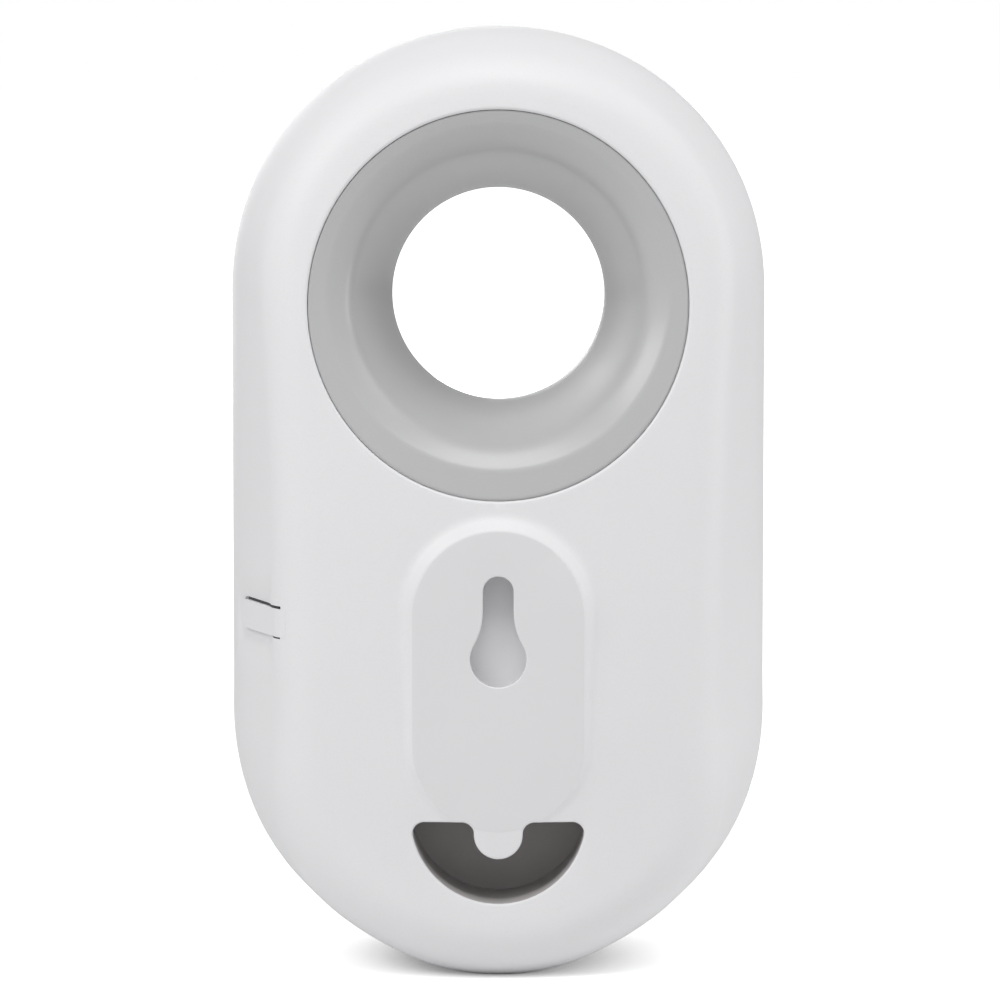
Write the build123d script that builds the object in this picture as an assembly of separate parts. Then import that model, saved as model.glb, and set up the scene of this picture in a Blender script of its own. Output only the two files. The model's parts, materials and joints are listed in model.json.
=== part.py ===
from build123d import *
import os
from math import asin, cos, radians, sin, sqrt, tan

# Wireless alarm siren: an upright pill-shaped housing with a sound horn through its top.
# X runs to the right as seen from the wall, Y from the wall towards the room, Z up.
# Millimetres; the origin is under the middle of the housing, on the surface it stands on.

# Driving dimensions of the housing
HEIGHT = 164.0
HALF_WIDTH = 47.25
WALL_Y = -23.5
SEAM_Y = 15.5
FRONT_Y = 23.5
PAD_PROUD = 0.06
SKIN = 2.2
SEAM_GAP = 0.3
FOOT_CUT = 0.4

# How the rear of the housing curves away from the wall
CROWN_RADIUS = 175.0
LEAN_RADIUS = 520.0
LEAN_START_Z = 36.0
FLANK_RADIUS = 46.8
FLANK_DRAFT = 22.0
REAR_EDGE_RADIUS = 10.0
FRONT_EDGE_RADIUS = 6.5
HORN_HOLE_RADIUS = 0.5
MOON_EDGE_RADIUS = 0.35
KEYHOLE_EDGE_RADIUS = 0.25

# Horn through the housing
HORN_Z = 117.0
RIM_HALF_WIDTH = 32.6
RIM_HALF_HEIGHT = 33.1
RIM_Z = 116.3
RIM_GAP = 0.3
RIM_SINK = 0.45
THROAT_RADIUS = 18.7
THROAT_Y = 9.0
MOUTH_Y = -15.5
MOUTH_RISE = 1.1
MOUTH_TILT = 9.0
MOUTH_ROUNDING = 2.6
HORN_WALL = 1.8
FLARE_RADIUS = 25.5

# Wall pad with its keyhole
PAD_HALF_WIDTH = 14.9
PAD_TOP_Z = 63.2
PAD_BOTTOM_Z = 40.8
PAD_DEPTH = 3.0
PAD_SPREAD = 3.4
PAD_RIM_RADIUS = 1.0
PAD_FOOT_RADIUS = 2.4
NECK_Z = 67.6
NECK_RADIUS = 2.63
HEAD_Z = 55.9
HEAD_RADIUS = 4.85
NECK_BLEND = 12.0
KEYHOLE_SKIN = 1.3
KEYHOLE_DEPTH = 5.5
KEYHOLE_WALL = 1.4

# Half-moon recess with its hanging tongue
MOON_Z = 28.6
MOON_RADIUS = 15.1
MOON_TOP_Z = 27.7
MOON_CORNER = 2.05
MOON_TONGUE_Z = 25.5
MOON_TONGUE_RADIUS = 4.2
MOON_WALL = 1.5
MOON_SKIRT_Y = -17.5
BAY_FLOOR_Y = -5.5
BAY_TOP_Z = 27.75
BAY_WALL = 1.0

# Release tongue in the flank
TONGUE_ROOT_Y = -16.2
TONGUE_END_Y = 2.4
TONGUE_Z = 61.3
TONGUE_HALF = 2.45
TONGUE_TOP_SLIT = 0.5
TONGUE_FOOT_SLIT = 0.28
TONGUE_END_SLIT = 0.6
TONGUE_HINGE_GAP = 0.16
PIVOT_X = -36.2
PIVOT_RADIUS = 0.6
PIVOT_GAP = 0.1
DISH_FRONT_Y = 0.5
DISH_REAR_Y = -9.5
DISH_Z = 60.7
DISH_RADIUS = 14.0
DISH_DEPTH = 1.1
CATCH_THICKNESS = 1.6
CATCH_INSET = 4.5
CATCH_HALF = 2.2
CATCH_END_Y = 18.3

# Cells
CELL_RADIUS = 7.25
CELL_LENGTH = 49.2
CELL_NUB_RADIUS = 2.6
CELL_NUB = 1.3
CELL_PITCH = 15.2
CELL_Y = -7.3
CELL_Z = 30.4

# Layers in front of the cells
DECK_Y = 0.6
DECK_THICKNESS = 2.0
BOARD_Y = 4.2
BOARD_THICKNESS = 1.6
CASE_INSIDE_Y = FRONT_Y - SKIN
COLLAR_WALL = 1.4
CHAMBER_RADIUS = 29.6

# Sounder
SOUNDER_Z = 61.0
SOUNDER_RADIUS = 16.0
SOUNDER_Y = 8.2
SOUNDER_DEPTH = 9.0

SCREW_SPOTS = [(-38.5, 82.0), (38.5, 82.0), (-27.0, 20.5), (27.0, 20.5), (-26.0, 145.0), (26.0, 145.0)]
BOARD_SCREW_SPOTS = [(-29.0, 34.0), (29.0, 34.0), (-29.0, 86.0), (29.0, 86.0)]
TAMPER_SPOT = (36.0, 92.0)
BUTTON_SPOT = (-36.0, 92.0)


def wall_plane(y):
    """A plane parallel to the wall at depth y: its x is the row's X and its y the row's Z."""
    return Plane(origin=(0, y, 0), x_dir=(1, 0, 0), z_dir=(0, -1, 0))


def prism(face, y_rear, y_front):
    """A flat outline drawn in X and Z, carried from depth y_rear to depth y_front."""
    return extrude(wall_plane(y_front) * face, y_front - y_rear, dir=(0, -1, 0))


def slot_face(radius, z_low, z_high, x=0.0):
    """An upright stadium whose end arcs are centred at z_low and z_high."""
    middle = Pos(x, (z_low + z_high) / 2) * Rectangle(2 * radius, z_high - z_low)
    ends = Pos(x, z_low) * Circle(radius) + Pos(x, z_high) * Circle(radius)
    return middle + ends


def disc(x, z, radius):
    """A round outline at x, z."""
    return Pos(x, z) * Circle(radius)


def flank_inset(y):
    """How far the flank has drawn in at depth y, from the widest line at the seam."""
    depth = SEAM_Y - y
    round_depth = FLANK_RADIUS * sin(radians(FLANK_DRAFT))
    turn = asin(min(depth, round_depth) / FLANK_RADIUS)
    straight = max(0.0, depth - round_depth) * tan(radians(FLANK_DRAFT))
    return FLANK_RADIUS * (1 - cos(turn)) + straight


def housing_section(y, inset):
    """The pill outline at depth y: its top draws in with the flanks and its foot stays level."""
    half = HALF_WIDTH - flank_inset(y) - inset
    foot = inset - FOOT_CUT
    top = HEIGHT - flank_inset(y) - inset
    return slot_outline(half, foot, top)


def slot_outline(half, foot, top):
    """A stadium as one clean wire of two lines and two arcs."""
    low, high = foot + half, top - half
    edges = [
        Line((half, low), (half, high)),
        ThreePointArc((half, high), (0, top), (-half, high)),
        Line((-half, high), (-half, low)),
        ThreePointArc((-half, low), (0, foot), (half, low)),
    ]
    return make_face(edges)


def rear_barrel(inset):
    """The crowned drum that the rear surface is part of: upright low down, leaning away above."""
    radius = CROWN_RADIUS - inset
    lean = LEAN_RADIUS - inset
    axis_y = WALL_Y + PAD_PROUD + CROWN_RADIUS
    low, high = -8.0, HEIGHT + 8.0
    middle = (LEAN_START_Z + high) / 2
    lean_middle = lean - sqrt(lean**2 - (middle - LEAN_START_Z) ** 2)
    lean_high = lean - sqrt(lean**2 - (high - LEAN_START_Z) ** 2)
    edges = [
        Line((0, low), (radius, low)),
        Line((radius, low), (radius, LEAN_START_Z)),
        ThreePointArc((radius, LEAN_START_Z), (radius - lean_middle, middle), (radius - lean_high, high)),
        Line((radius - lean_high, high), (0, high)),
        Line((0, high), (0, low)),
    ]
    outline = Plane(origin=(0, axis_y, 0), x_dir=(0, -1, 0), z_dir=(-1, 0, 0)) * make_face(edges)
    return revolve(outline, Axis((0, axis_y, 0), (0, 0, 1)), 360)


def rear_hull(inset, edge_radius):
    """The rear shell's body behind the seam, drawn in by inset all over."""
    depths = [SEAM_Y, 7.5, -0.5, -8.5, -17.5, -26.5]
    body = loft([wall_plane(y) * housing_section(y, inset) for y in depths])
    body = body & rear_barrel(inset)
    rim = [edge for edge in body.edges() if edge.center().Y < SEAM_Y - 1 and is_rim(edge)]
    return fillet(rim, edge_radius)


def is_rim(edge):
    """True on the edges between flank and rear surface, which run round and not through."""
    size = edge.bounding_box().size
    return size.Y < 0.6 * max(size.X, size.Z)


def foot_block():
    """What lies under the flat foot and is cut away."""
    return Pos(0, 0, -5) * Box(120, 80, 10)


def pad_solid():
    """The raised wall pad: flat at the wall, spreading into the crowned rear surface."""
    low, high = PAD_BOTTOM_Z, PAD_TOP_Z
    flat = wall_plane(WALL_Y) * slot_outline(PAD_HALF_WIDTH, low - PAD_HALF_WIDTH, high + PAD_HALF_WIDTH)
    wide = PAD_HALF_WIDTH + PAD_SPREAD
    base = wall_plane(WALL_Y + PAD_DEPTH) * slot_outline(wide, low - wide, high + wide)
    pad = loft([flat, base], ruled=True)
    rim = pad.edges().group_by(Axis.Y)[0]
    return fillet(rim, PAD_RIM_RADIUS)


def rear_y(x, z):
    """Depth of the crowned rear surface at x, z."""
    lean = LEAN_RADIUS - sqrt(LEAN_RADIUS**2 - max(0.0, z - LEAN_START_Z) ** 2)
    return WALL_Y + PAD_PROUD + CROWN_RADIUS - sqrt((CROWN_RADIUS - lean) ** 2 - x**2)


def hull_with_pad():
    """The rear body with the wall pad blended into it by a soft hollow round its foot."""
    body = rear_hull(0.0, REAR_EDGE_RADIUS) + pad_solid()
    foot = [edge for edge in body.edges() if is_pad_foot(edge)]
    return fillet(foot, PAD_FOOT_RADIUS)


def is_pad_foot(edge):
    """True on the edges where the pad's slanting side meets the rear surface."""
    middle = edge @ 0.5
    size = edge.bounding_box().size
    near = abs(middle.X) < PAD_HALF_WIDTH + PAD_SPREAD and PAD_BOTTOM_Z - 18.0 < middle.Z < PAD_TOP_Z + 19.0
    return near and middle.Y > WALL_Y + 0.03 and size.X < 40.0 and abs(middle.Y - rear_y(middle.X, middle.Z)) < 0.02


def on_rear_skin(edge):
    """True on edges that lie in the outer rear surface or the pad's flat."""
    middle = edge @ 0.5
    return abs(middle.Y - rear_y(middle.X, middle.Z)) < 0.02 or abs(middle.Y - WALL_Y) < 0.03


def along(edge, outline):
    """True on edges that follow an outline drawn in X and Z."""
    middle = edge @ 0.5
    spot = Vertex(middle.X, middle.Z, 0)
    return outline.faces()[0].outer_wire().distance_to(spot) < 0.02


def soften(cover):
    """Rounds the cover's outer edges round the horn, the half-moon and the keyhole."""
    horn = rim_face(RIM_GAP)
    cuts = [(horn, HORN_HOLE_RADIUS), (keyhole_face(), KEYHOLE_EDGE_RADIUS), (moon_face(), MOON_EDGE_RADIUS)]
    for outline, radius in cuts:
        edges = [edge for edge in cover.edges() if on_rear_skin(edge) and along(edge, outline)]
        cover = fillet(edges, radius)
    return cover


def keyhole_face(grow=0.0):
    """Keyhole outline: a round head below, a neck above, joined by two long hollow arcs."""
    neck, head = NECK_RADIUS + grow, HEAD_RADIUS + grow
    blend = NECK_BLEND - grow
    rise = sqrt((blend + head) ** 2 - (neck + blend) ** 2)
    start_z = HEAD_Z + rise
    share = head / (blend + head)
    touch_x, touch_z = (neck + blend) * share, HEAD_Z + rise * share
    turn = asin(rise / (blend + head)) / 2
    bend_x = neck + blend - blend * cos(turn)
    bend_z = start_z - blend * sin(turn)
    edges = [
        Line((neck, start_z), (neck, NECK_Z)),
        ThreePointArc((neck, NECK_Z), (0, NECK_Z + neck), (-neck, NECK_Z)),
        Line((-neck, NECK_Z), (-neck, start_z)),
        ThreePointArc((-neck, start_z), (-bend_x, bend_z), (-touch_x, touch_z)),
        ThreePointArc((-touch_x, touch_z), (0, HEAD_Z - head), (touch_x, touch_z)),
        ThreePointArc((touch_x, touch_z), (bend_x, bend_z), (neck, start_z)),
    ]
    return make_face(edges)


def moon_face(grow=0.0):
    """Half-moon outline with a rounded tongue hanging into its straight top edge."""
    top = MOON_TOP_Z + grow
    moon = disc(0, MOON_Z, MOON_RADIUS + grow) - Pos(0, top + 20) * Rectangle(60, 40)
    half = MOON_TONGUE_RADIUS - grow
    moon = moon - slot_face(half, MOON_TONGUE_Z, top + 10)
    corners = [vertex for vertex in moon.vertices() if vertex.Y > top - 0.5]
    return fillet(corners, MOON_CORNER)


def tongue_outline(top_gap, foot_gap, end_gap):
    """Side view of the release tongue in Y and Z: a long slot, round at its free end."""
    half = TONGUE_HALF + (top_gap + foot_gap) / 2
    middle = TONGUE_Z + (top_gap - foot_gap) / 2
    round_y = TONGUE_END_Y + end_gap - half
    edges = [
        Line((TONGUE_ROOT_Y, middle - half), (round_y, middle - half)),
        ThreePointArc((round_y, middle - half), (round_y + half, middle), (round_y, middle + half)),
        Line((round_y, middle + half), (TONGUE_ROOT_Y, middle + half)),
        Line((TONGUE_ROOT_Y, middle + half), (TONGUE_ROOT_Y, middle - half)),
    ]
    side = Plane(origin=(-60, 0, 0), x_dir=(0, 1, 0), z_dir=(1, 0, 0))
    return extrude(side * make_face(edges), 34)


def tongue_pivot(radius, half_length):
    """The round root that the release tongue turns on, in the middle of the wall."""
    centre = Pos(PIVOT_X, TONGUE_ROOT_Y + TONGUE_HINGE_GAP / 2, TONGUE_Z)
    return centre * Cylinder(radius, 2 * half_length)


def flank_x(y, inset=0.0):
    """X of the left flank at depth y, drawn in by inset."""
    return -HALF_WIDTH + flank_inset(y) + inset


def finger_dish():
    """A long shallow dish in the left flank, which the release tongue stands in."""
    front = Vector(flank_x(DISH_FRONT_Y), DISH_FRONT_Y, DISH_Z)
    rear = Vector(flank_x(DISH_REAR_Y), DISH_REAR_Y, DISH_Z)
    along = (rear - front).normalized()
    outward = Vector(along.Y, -along.X, 0)
    lift = outward * (DISH_RADIUS - DISH_DEPTH)
    start, end = front + lift, rear + lift
    barrel = Plane(origin=(start + end) * 0.5, z_dir=along) * Cylinder(DISH_RADIUS, (end - start).length)
    return barrel + Pos(*start) * Sphere(DISH_RADIUS) + Pos(*end) * Sphere(DISH_RADIUS)


def keyhole_boss():
    """The walled pocket behind the keyhole, which takes a screw's head."""
    floor_y = WALL_Y + KEYHOLE_DEPTH
    radius = HEAD_RADIUS + 0.4 + KEYHOLE_WALL
    return prism(slot_face(radius, HEAD_Z, NECK_Z), WALL_Y + 1.0, floor_y + KEYHOLE_WALL)


def keyhole_cut():
    """Keyhole through the skin and the undercut room behind it, open at the head."""
    floor_y = WALL_Y + KEYHOLE_DEPTH
    skin_y = WALL_Y + KEYHOLE_SKIN
    mouth = prism(keyhole_face(), WALL_Y - 1.0, floor_y)
    room = prism(slot_face(HEAD_RADIUS + 0.4, HEAD_Z, NECK_Z), skin_y, floor_y)
    return mouth + room


def inside_ribs():
    """Stiffening ribs across the cover's inner face, clear of the cells and the horn."""
    ribs = Part()
    for x in (-24.0, 24.0):
        ribs += Pos(x, -20.0, 24.0) * Box(1.2, 6.0, 26.0)
    for x in (-9.6, 9.6):
        ribs += Pos(x, -19.0, 56.0) * Box(1.2, 5.0, 46.0)
    return ribs


def tamper_post():
    """Post on the cover that holds the tamper plunger down while the cover is on."""
    x, z = TAMPER_SPOT
    return prism(disc(x, z, 2.2), -24.0, -6.3)


def make_rear_cover():
    """Moulded rear shell with wall pad, keyhole pocket, half-moon opening and tongue slot."""
    outer = hull_with_pad()
    inner = rear_hull(SKIN, REAR_EDGE_RADIUS - SKIN)
    shell = outer - inner
    furniture = keyhole_boss() + inside_ribs() + tamper_post()
    furniture += prism(moon_face(MOON_WALL), WALL_Y + 1.0, MOON_SKIRT_Y)
    cover = shell + (furniture & outer)
    cover -= prism(rim_face(RIM_GAP), -30, 12)
    cover -= keyhole_cut()
    cover -= prism(moon_face(), -30, -10)
    cover = soften(cover)
    cover -= finger_dish()
    cover -= tongue_outline(TONGUE_TOP_SLIT, TONGUE_FOOT_SLIT, TONGUE_END_SLIT)
    cover -= tongue_pivot(PIVOT_RADIUS + PIVOT_GAP, TONGUE_HALF + TONGUE_FOOT_SLIT)
    cover -= foot_block()
    cover -= Pos(0, SEAM_Y, 80) * Box(120, 2 * SEAM_GAP, 200)
    return cover


def make_release_tongue():
    """Spring tongue cut out of the flank, with the catch arm that holds the cover on."""
    skin = rear_hull(0.0, REAR_EDGE_RADIUS) - rear_hull(SKIN, REAR_EDGE_RADIUS - SKIN)
    tongue = skin & tongue_outline(0.0, 0.0, 0.0)
    tongue -= Pos(-40, TONGUE_ROOT_Y, TONGUE_Z) * Box(30, 2 * TONGUE_HINGE_GAP, 20)
    tongue += tongue_pivot(PIVOT_RADIUS, TONGUE_HALF)
    arm_face = [(CATCH_INSET, -3.0), (CATCH_INSET, 15.9), (2.9, 15.9), (3.6, CATCH_END_Y)]
    arm_face += [(CATCH_INSET + CATCH_THICKNESS, CATCH_END_Y), (CATCH_INSET + CATCH_THICKNESS, -3.0)]
    outline = make_face(Polyline(*[(inset - HALF_WIDTH, y) for inset, y in arm_face], close=True))
    arm = extrude(Plane.XY.offset(TONGUE_Z - CATCH_HALF) * outline, 2 * CATCH_HALF, dir=(0, 0, 1))
    return tongue + arm


def front_body(inset, edge_radius):
    """The front case's body in front of the seam, drawn in by inset."""
    outline = housing_section(SEAM_Y, inset)
    body = prism(outline, SEAM_Y, FRONT_Y - inset)
    return fillet(body.edges().group_by(Axis.Y)[-1], edge_radius)


def make_front_case():
    """Front shell with its seam lip, horn opening, screw posts and sounder ring."""
    case = front_body(0.0, FRONT_EDGE_RADIUS) - front_body(SKIN, FRONT_EDGE_RADIUS - SKIN)
    lip = housing_section(SEAM_Y, SKIN + 0.35) - housing_section(SEAM_Y, SKIN + 1.5)
    case += prism(lip, SEAM_Y - 2.0, SEAM_Y)
    bridge = housing_section(SEAM_Y, SKIN - 0.2) - housing_section(SEAM_Y, SKIN + 1.5)
    case += prism(bridge, SEAM_Y, SEAM_Y + 1.6)
    posts = Sketch()
    for x, z in SCREW_SPOTS:
        posts += disc(x, z, 3.2)
    case += prism(posts, DECK_Y + DECK_THICKNESS, CASE_INSIDE_Y + 0.6)
    collar = disc(0, SOUNDER_Z, SOUNDER_RADIUS + COLLAR_WALL) - disc(0, SOUNDER_Z, SOUNDER_RADIUS)
    case += prism(collar, SOUNDER_Y + 2.0, CASE_INSIDE_Y + 0.6)
    collar = disc(0, HORN_Z, CHAMBER_RADIUS) - disc(0, HORN_Z, CHAMBER_RADIUS - COLLAR_WALL)
    case += prism(collar, THROAT_Y + 1.0, CASE_INSIDE_Y + 0.6)
    case -= Pos(0, 17.6, (SOUNDER_Z + HORN_Z - 12.0) / 2) * Box(14, 7.2, 20)
    for x, z in SCREW_SPOTS:
        case -= prism(disc(x, z, 1.3), -5, 12.0)
    case -= prism(disc(0, HORN_Z, FLARE_RADIUS + HORN_WALL), 10, 30)
    case -= prism(disc(0, 28.0, 1.8), 10, 30)
    case -= Pos(-HALF_WIDTH + 6.9, SEAM_Y + 0.2, TONGUE_Z) * Box(9, 6.6, 6.4)
    case -= foot_block()
    return case


def rim_face(grow):
    """Outline of the horn's rim, a little higher than wide, grown outwards by grow."""
    return Pos(0, RIM_Z) * Ellipse(RIM_HALF_WIDTH + grow, RIM_HALF_HEIGHT + grow)


def horn_profile():
    """The horn behind its throat, as (radius, share of the way to the mouth)."""
    return [
        (THROAT_RADIUS, 0.0),
        (20.6, 0.17),
        (22.4, 0.37),
        (23.8, 0.55),
        (25.0, 0.71),
        (26.3, 0.83),
        (27.8, 0.91),
        (30.0, 0.99),
        (32.8, 1.08),
    ]


def horn_void(grow):
    """The space inside the horn: round sections that tilt and rise towards the leaning mouth."""
    sections = []
    for radius, share in horn_profile():
        tilt = radians(MOUTH_TILT * share)
        centre = (0, THROAT_Y + (MOUTH_Y - THROAT_Y) * share, HORN_Z + MOUTH_RISE * share)
        plane = Plane(origin=centre, x_dir=(1, 0, 0), z_dir=(0, -cos(tilt), sin(tilt)))
        sections.append(plane * Circle(radius + grow))
    throat = prism(disc(0, HORN_Z, THROAT_RADIUS + grow), THROAT_Y, THROAT_Y + 1.0)
    return loft(sections) + throat


def make_horn_ring():
    """Rear half of the horn: a lip that follows the rear surface, a flared bore, a narrow throat."""
    body = horn_void(HORN_WALL)
    body += prism(disc(0, HORN_Z, CHAMBER_RADIUS), THROAT_Y - 0.2, THROAT_Y + 1.0)
    lip = prism(rim_face(0.0), -32.0, -4.0)
    depth_shell = rear_hull(RIM_SINK + 3.0, REAR_EDGE_RADIUS - 3.0)
    lip = lip - depth_shell
    ring = (body + lip) & rear_hull(RIM_SINK, REAR_EDGE_RADIUS - RIM_SINK)
    ring -= horn_void(0.0)
    mouth = [edge for edge in ring.edges() if is_mouth(edge)]
    return fillet(mouth, MOUTH_ROUNDING)


def is_mouth(edge):
    """True on the edge between the horn's bore and its lip."""
    box = edge.bounding_box()
    return 54.0 < box.size.X < 64.5 and box.min.Y < -18.0 and box.size.Y > 5.0


def make_front_flare():
    """Front half of the horn: opens from the throat to the front face, with a ring of sound slots."""
    rear = THROAT_Y + 1.0
    front = FRONT_Y - 0.5
    inner = [Line((THROAT_RADIUS, rear), (THROAT_RADIUS, rear + 0.5))]
    inner.append(Spline((THROAT_RADIUS, rear + 0.5), (20.0, 14.5), (22.4, 19.0), (FLARE_RADIUS, front)))
    outer_rim = FLARE_RADIUS + HORN_WALL - 0.1
    edges = inner + [
        Line((FLARE_RADIUS, front), (outer_rim, front)),
        Line((outer_rim, front), (outer_rim, CASE_INSIDE_Y - 0.6)),
        Line((outer_rim, CASE_INSIDE_Y - 0.6), (24.6, CASE_INSIDE_Y - 0.6)),
        Line((24.6, CASE_INSIDE_Y - 0.6), (THROAT_RADIUS + HORN_WALL, rear + 3.0)),
        Line((THROAT_RADIUS + HORN_WALL, rear + 3.0), (THROAT_RADIUS + HORN_WALL, rear)),
        Line((THROAT_RADIUS + HORN_WALL, rear), (THROAT_RADIUS, rear)),
    ]
    outline = Plane(origin=(0, 0, HORN_Z), x_dir=(1, 0, 0), z_dir=(0, 0, 1)) * make_face(edges)
    flare = revolve(outline, Axis((0, 0, HORN_Z), (0, 1, 0)), 360)
    slots = Sketch()
    for step in range(12):
        angle = 30.0 * step + 15.0
        slots += Pos(0, HORN_Z) * Rot(0, 0, angle) * Pos(22.2, 0) * SlotOverall(4.4, 1.8, rotation=90)
    flare -= prism(slots, 11.0, 22.0)
    return flare


def make_chassis():
    """Inner frame: a deck with four cell cradles, their end walls, pillars and posts."""
    deck = prism(housing_section(DECK_Y, SKIN + 1.4), DECK_Y, DECK_Y + DECK_THICKNESS)
    deck -= prism(disc(0, HORN_Z, 28.5), -5, 8)
    wide = 2 * CELL_PITCH + 1.2
    high = CELL_Z + CELL_LENGTH + CELL_NUB
    cradle = Pos(0, -2.2, (CELL_Z + high) / 2) * Box(2 * wide, 6.0, high - CELL_Z + 2.0)
    for index in range(4):
        x = cell_x(index)
        bed = Pos(x, CELL_Y, (CELL_Z + high) / 2) * Cylinder(CELL_RADIUS + 0.2, high - CELL_Z + 0.8)
        cradle -= bed
    for z in (CELL_Z - 1.0, high + 1.0):
        cradle += Pos(0, -6.2, z) * Box(2 * wide, 14.0, 1.2)
    pillars = Sketch()
    for x, z in BOARD_SCREW_SPOTS:
        pillars += disc(x, z, 2.6) - disc(x, z, 1.0)
    posts = Sketch()
    for angle in (0, 60, 120, 180):
        posts += disc(28.6 * cos(radians(angle)), HORN_Z + 28.6 * sin(radians(angle)), 1.4)
    chassis = deck + cradle
    chassis += prism(pillars, DECK_Y + DECK_THICKNESS, BOARD_Y)
    chassis += prism(posts, DECK_Y, THROAT_Y - 0.2)
    for x, z in SCREW_SPOTS:
        chassis -= prism(disc(x, z, 1.7), -5, 8)
    chassis -= Pos(-HALF_WIDTH + 4, 0, TONGUE_Z) * Box(17.0, 10, 11)
    chassis -= Pos(HALF_WIDTH - 5, 0, TONGUE_Z) * Box(5.0, 10, 11)
    return chassis


def make_recess_cup():
    """Dark cup behind the half-moon, standing on the chassis deck."""
    walls = prism(bay_face(BAY_WALL) - bay_face(0.0), MOON_SKIRT_Y + 0.4, DECK_Y)
    floor = prism(bay_face(BAY_WALL / 2), BAY_FLOOR_Y, BAY_FLOOR_Y + 1.4)
    return walls + floor


def bay_face(grow):
    """Outline of the bay behind the half-moon, a little wider than the opening's skirt."""
    half = MOON_RADIUS + 0.4 + grow
    return disc(0, MOON_Z, half) - Pos(0, BAY_TOP_Z + grow + 20.0) * Rectangle(60, 40)


def cell_x(index):
    """Sideways place of a cell, counted from the left."""
    return (index - 1.5) * CELL_PITCH


def make_cell(index):
    """One AA cell: a can with rolled edges and its positive nub, every other one upside down."""
    can = Cylinder(CELL_RADIUS, CELL_LENGTH, align=(Align.CENTER, Align.CENTER, Align.MIN))
    can = chamfer(can.edges().filter_by(GeomType.CIRCLE), 0.5)
    nub = Cylinder(CELL_NUB_RADIUS, CELL_NUB, align=(Align.CENTER, Align.CENTER, Align.MIN))
    cell = can + Pos(0, 0, CELL_LENGTH) * nub
    if index % 2:
        cell = Pos(0, 0, CELL_LENGTH + CELL_NUB) * Rot(180, 0, 0) * cell
    return Pos(cell_x(index), CELL_Y, CELL_Z) * cell


def leaf_contact(x_from, x_to, z):
    """A stamped strip that bridges two cells, with rounded corners."""
    middle = (x_from + x_to) / 2
    width = abs(x_to - x_from) + 9.0
    strip = Pos(middle, CELL_Y - 1.6, z + 0.15) * Box(width, 7.2, 0.3)
    strip = fillet(strip.edges().filter_by(Axis.Z), 2.0)
    return strip


def make_contacts_low():
    """Lower contacts: one bridge between the middle cells and a tab at each outer cell."""
    z = CELL_Z - 0.4
    bridge = leaf_contact(cell_x(1), cell_x(2), z)
    left = leaf_contact(cell_x(0) - 0.5, cell_x(0) + 0.5, z)
    right = leaf_contact(cell_x(3) - 0.5, cell_x(3) + 0.5, z)
    return bridge + left + right


def make_contacts_high():
    """Upper contacts: two bridges, each between a pair of cells."""
    z = CELL_Z + CELL_LENGTH + CELL_NUB + 0.1
    return leaf_contact(cell_x(0), cell_x(1), z) + leaf_contact(cell_x(2), cell_x(3), z)


def make_main_board():
    """Circuit board: follows the housing's lower half and is hollowed round the horn."""
    outline = slot_face(33.5, 48.0, 90.0) & Pos(0, 60) * Rectangle(80, 96)
    outline -= disc(0, HORN_Z, 27.5)
    outline -= Pos(-33.5, TONGUE_Z) * Rectangle(6, 12)
    for x, z in BOARD_SCREW_SPOTS:
        outline -= disc(x, z, 1.6)
    outline -= disc(0, 28.0, 0.6)
    return prism(outline, BOARD_Y, BOARD_Y + BOARD_THICKNESS)


def on_board(x, z, width, height, thickness, corner):
    """A component with rounded upright corners soldered on the board's front face."""
    face = Pos(x, z) * RectangleRounded(width, height, corner)
    return prism(face, BOARD_Y + BOARD_THICKNESS, BOARD_Y + BOARD_THICKNESS + thickness)


def make_antenna():
    """Flat meander aerial standing off the board's upper right shoulder."""
    y = BOARD_Y + BOARD_THICKNESS
    face = Pos(30.0, 66.0) * Rectangle(2.0, 26.0)
    for step in range(5):
        side = 1.6 if step % 2 else -1.6
        face += Pos(30.0 + side, 56.0 + 5.0 * step) * Rectangle(3.6, 1.6)
    return prism(face, y, y + 0.8)


def make_capacitor():
    """Reservoir capacitor lying beside the sounder."""
    y = BOARD_Y + BOARD_THICKNESS + 4.0
    can = Pos(-24.5, y, 62.0) * Cylinder(4.0, 14.0)
    return chamfer(can.edges().filter_by(GeomType.CIRCLE), 0.5)


def make_sounder_cup():
    """Sounder cup that closes the rear of the sound chamber."""
    cup = prism(disc(0, SOUNDER_Z, SOUNDER_RADIUS), SOUNDER_Y, SOUNDER_Y + SOUNDER_DEPTH)
    cup = chamfer(cup.edges().group_by(Axis.Y)[0], 0.8)
    cup -= prism(disc(0, SOUNDER_Z, SOUNDER_RADIUS - 1.4), SOUNDER_Y + 1.4, SOUNDER_Y + SOUNDER_DEPTH)
    ledge = disc(0, SOUNDER_Z, SOUNDER_RADIUS - 1.0) - disc(0, SOUNDER_Z, SOUNDER_RADIUS - 3.4)
    return cup + prism(ledge, SOUNDER_Y + 1.0, SOUNDER_Y + 5.0)


def make_sounder_disc():
    """Brass bending disc of the piezo sounder."""
    return prism(disc(0, SOUNDER_Z, SOUNDER_RADIUS - 1.7), SOUNDER_Y + 5.0, SOUNDER_Y + 5.4)


def make_sounder_crystal():
    """Ceramic wafer bonded on the brass disc."""
    return prism(disc(0, SOUNDER_Z, 9.5), SOUNDER_Y + 4.5, SOUNDER_Y + 5.0)


def make_sound_duct():
    """Flat duct that carries the sound from the sounder up to the slots round the throat."""
    outside = Pos(0, 80.5) * RectangleRounded(20, 21.4, 3.0)
    inside = Pos(0, 81.0) * RectangleRounded(17, 18.0, 2.0)
    body = prism(outside, 12.5, CASE_INSIDE_Y) - prism(inside, 14.0, 22.0)
    body -= prism(disc(0, SOUNDER_Z, SOUNDER_RADIUS + COLLAR_WALL), 10, 24)
    body -= prism(disc(0, HORN_Z, CHAMBER_RADIUS), 10, 24)
    return body


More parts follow.
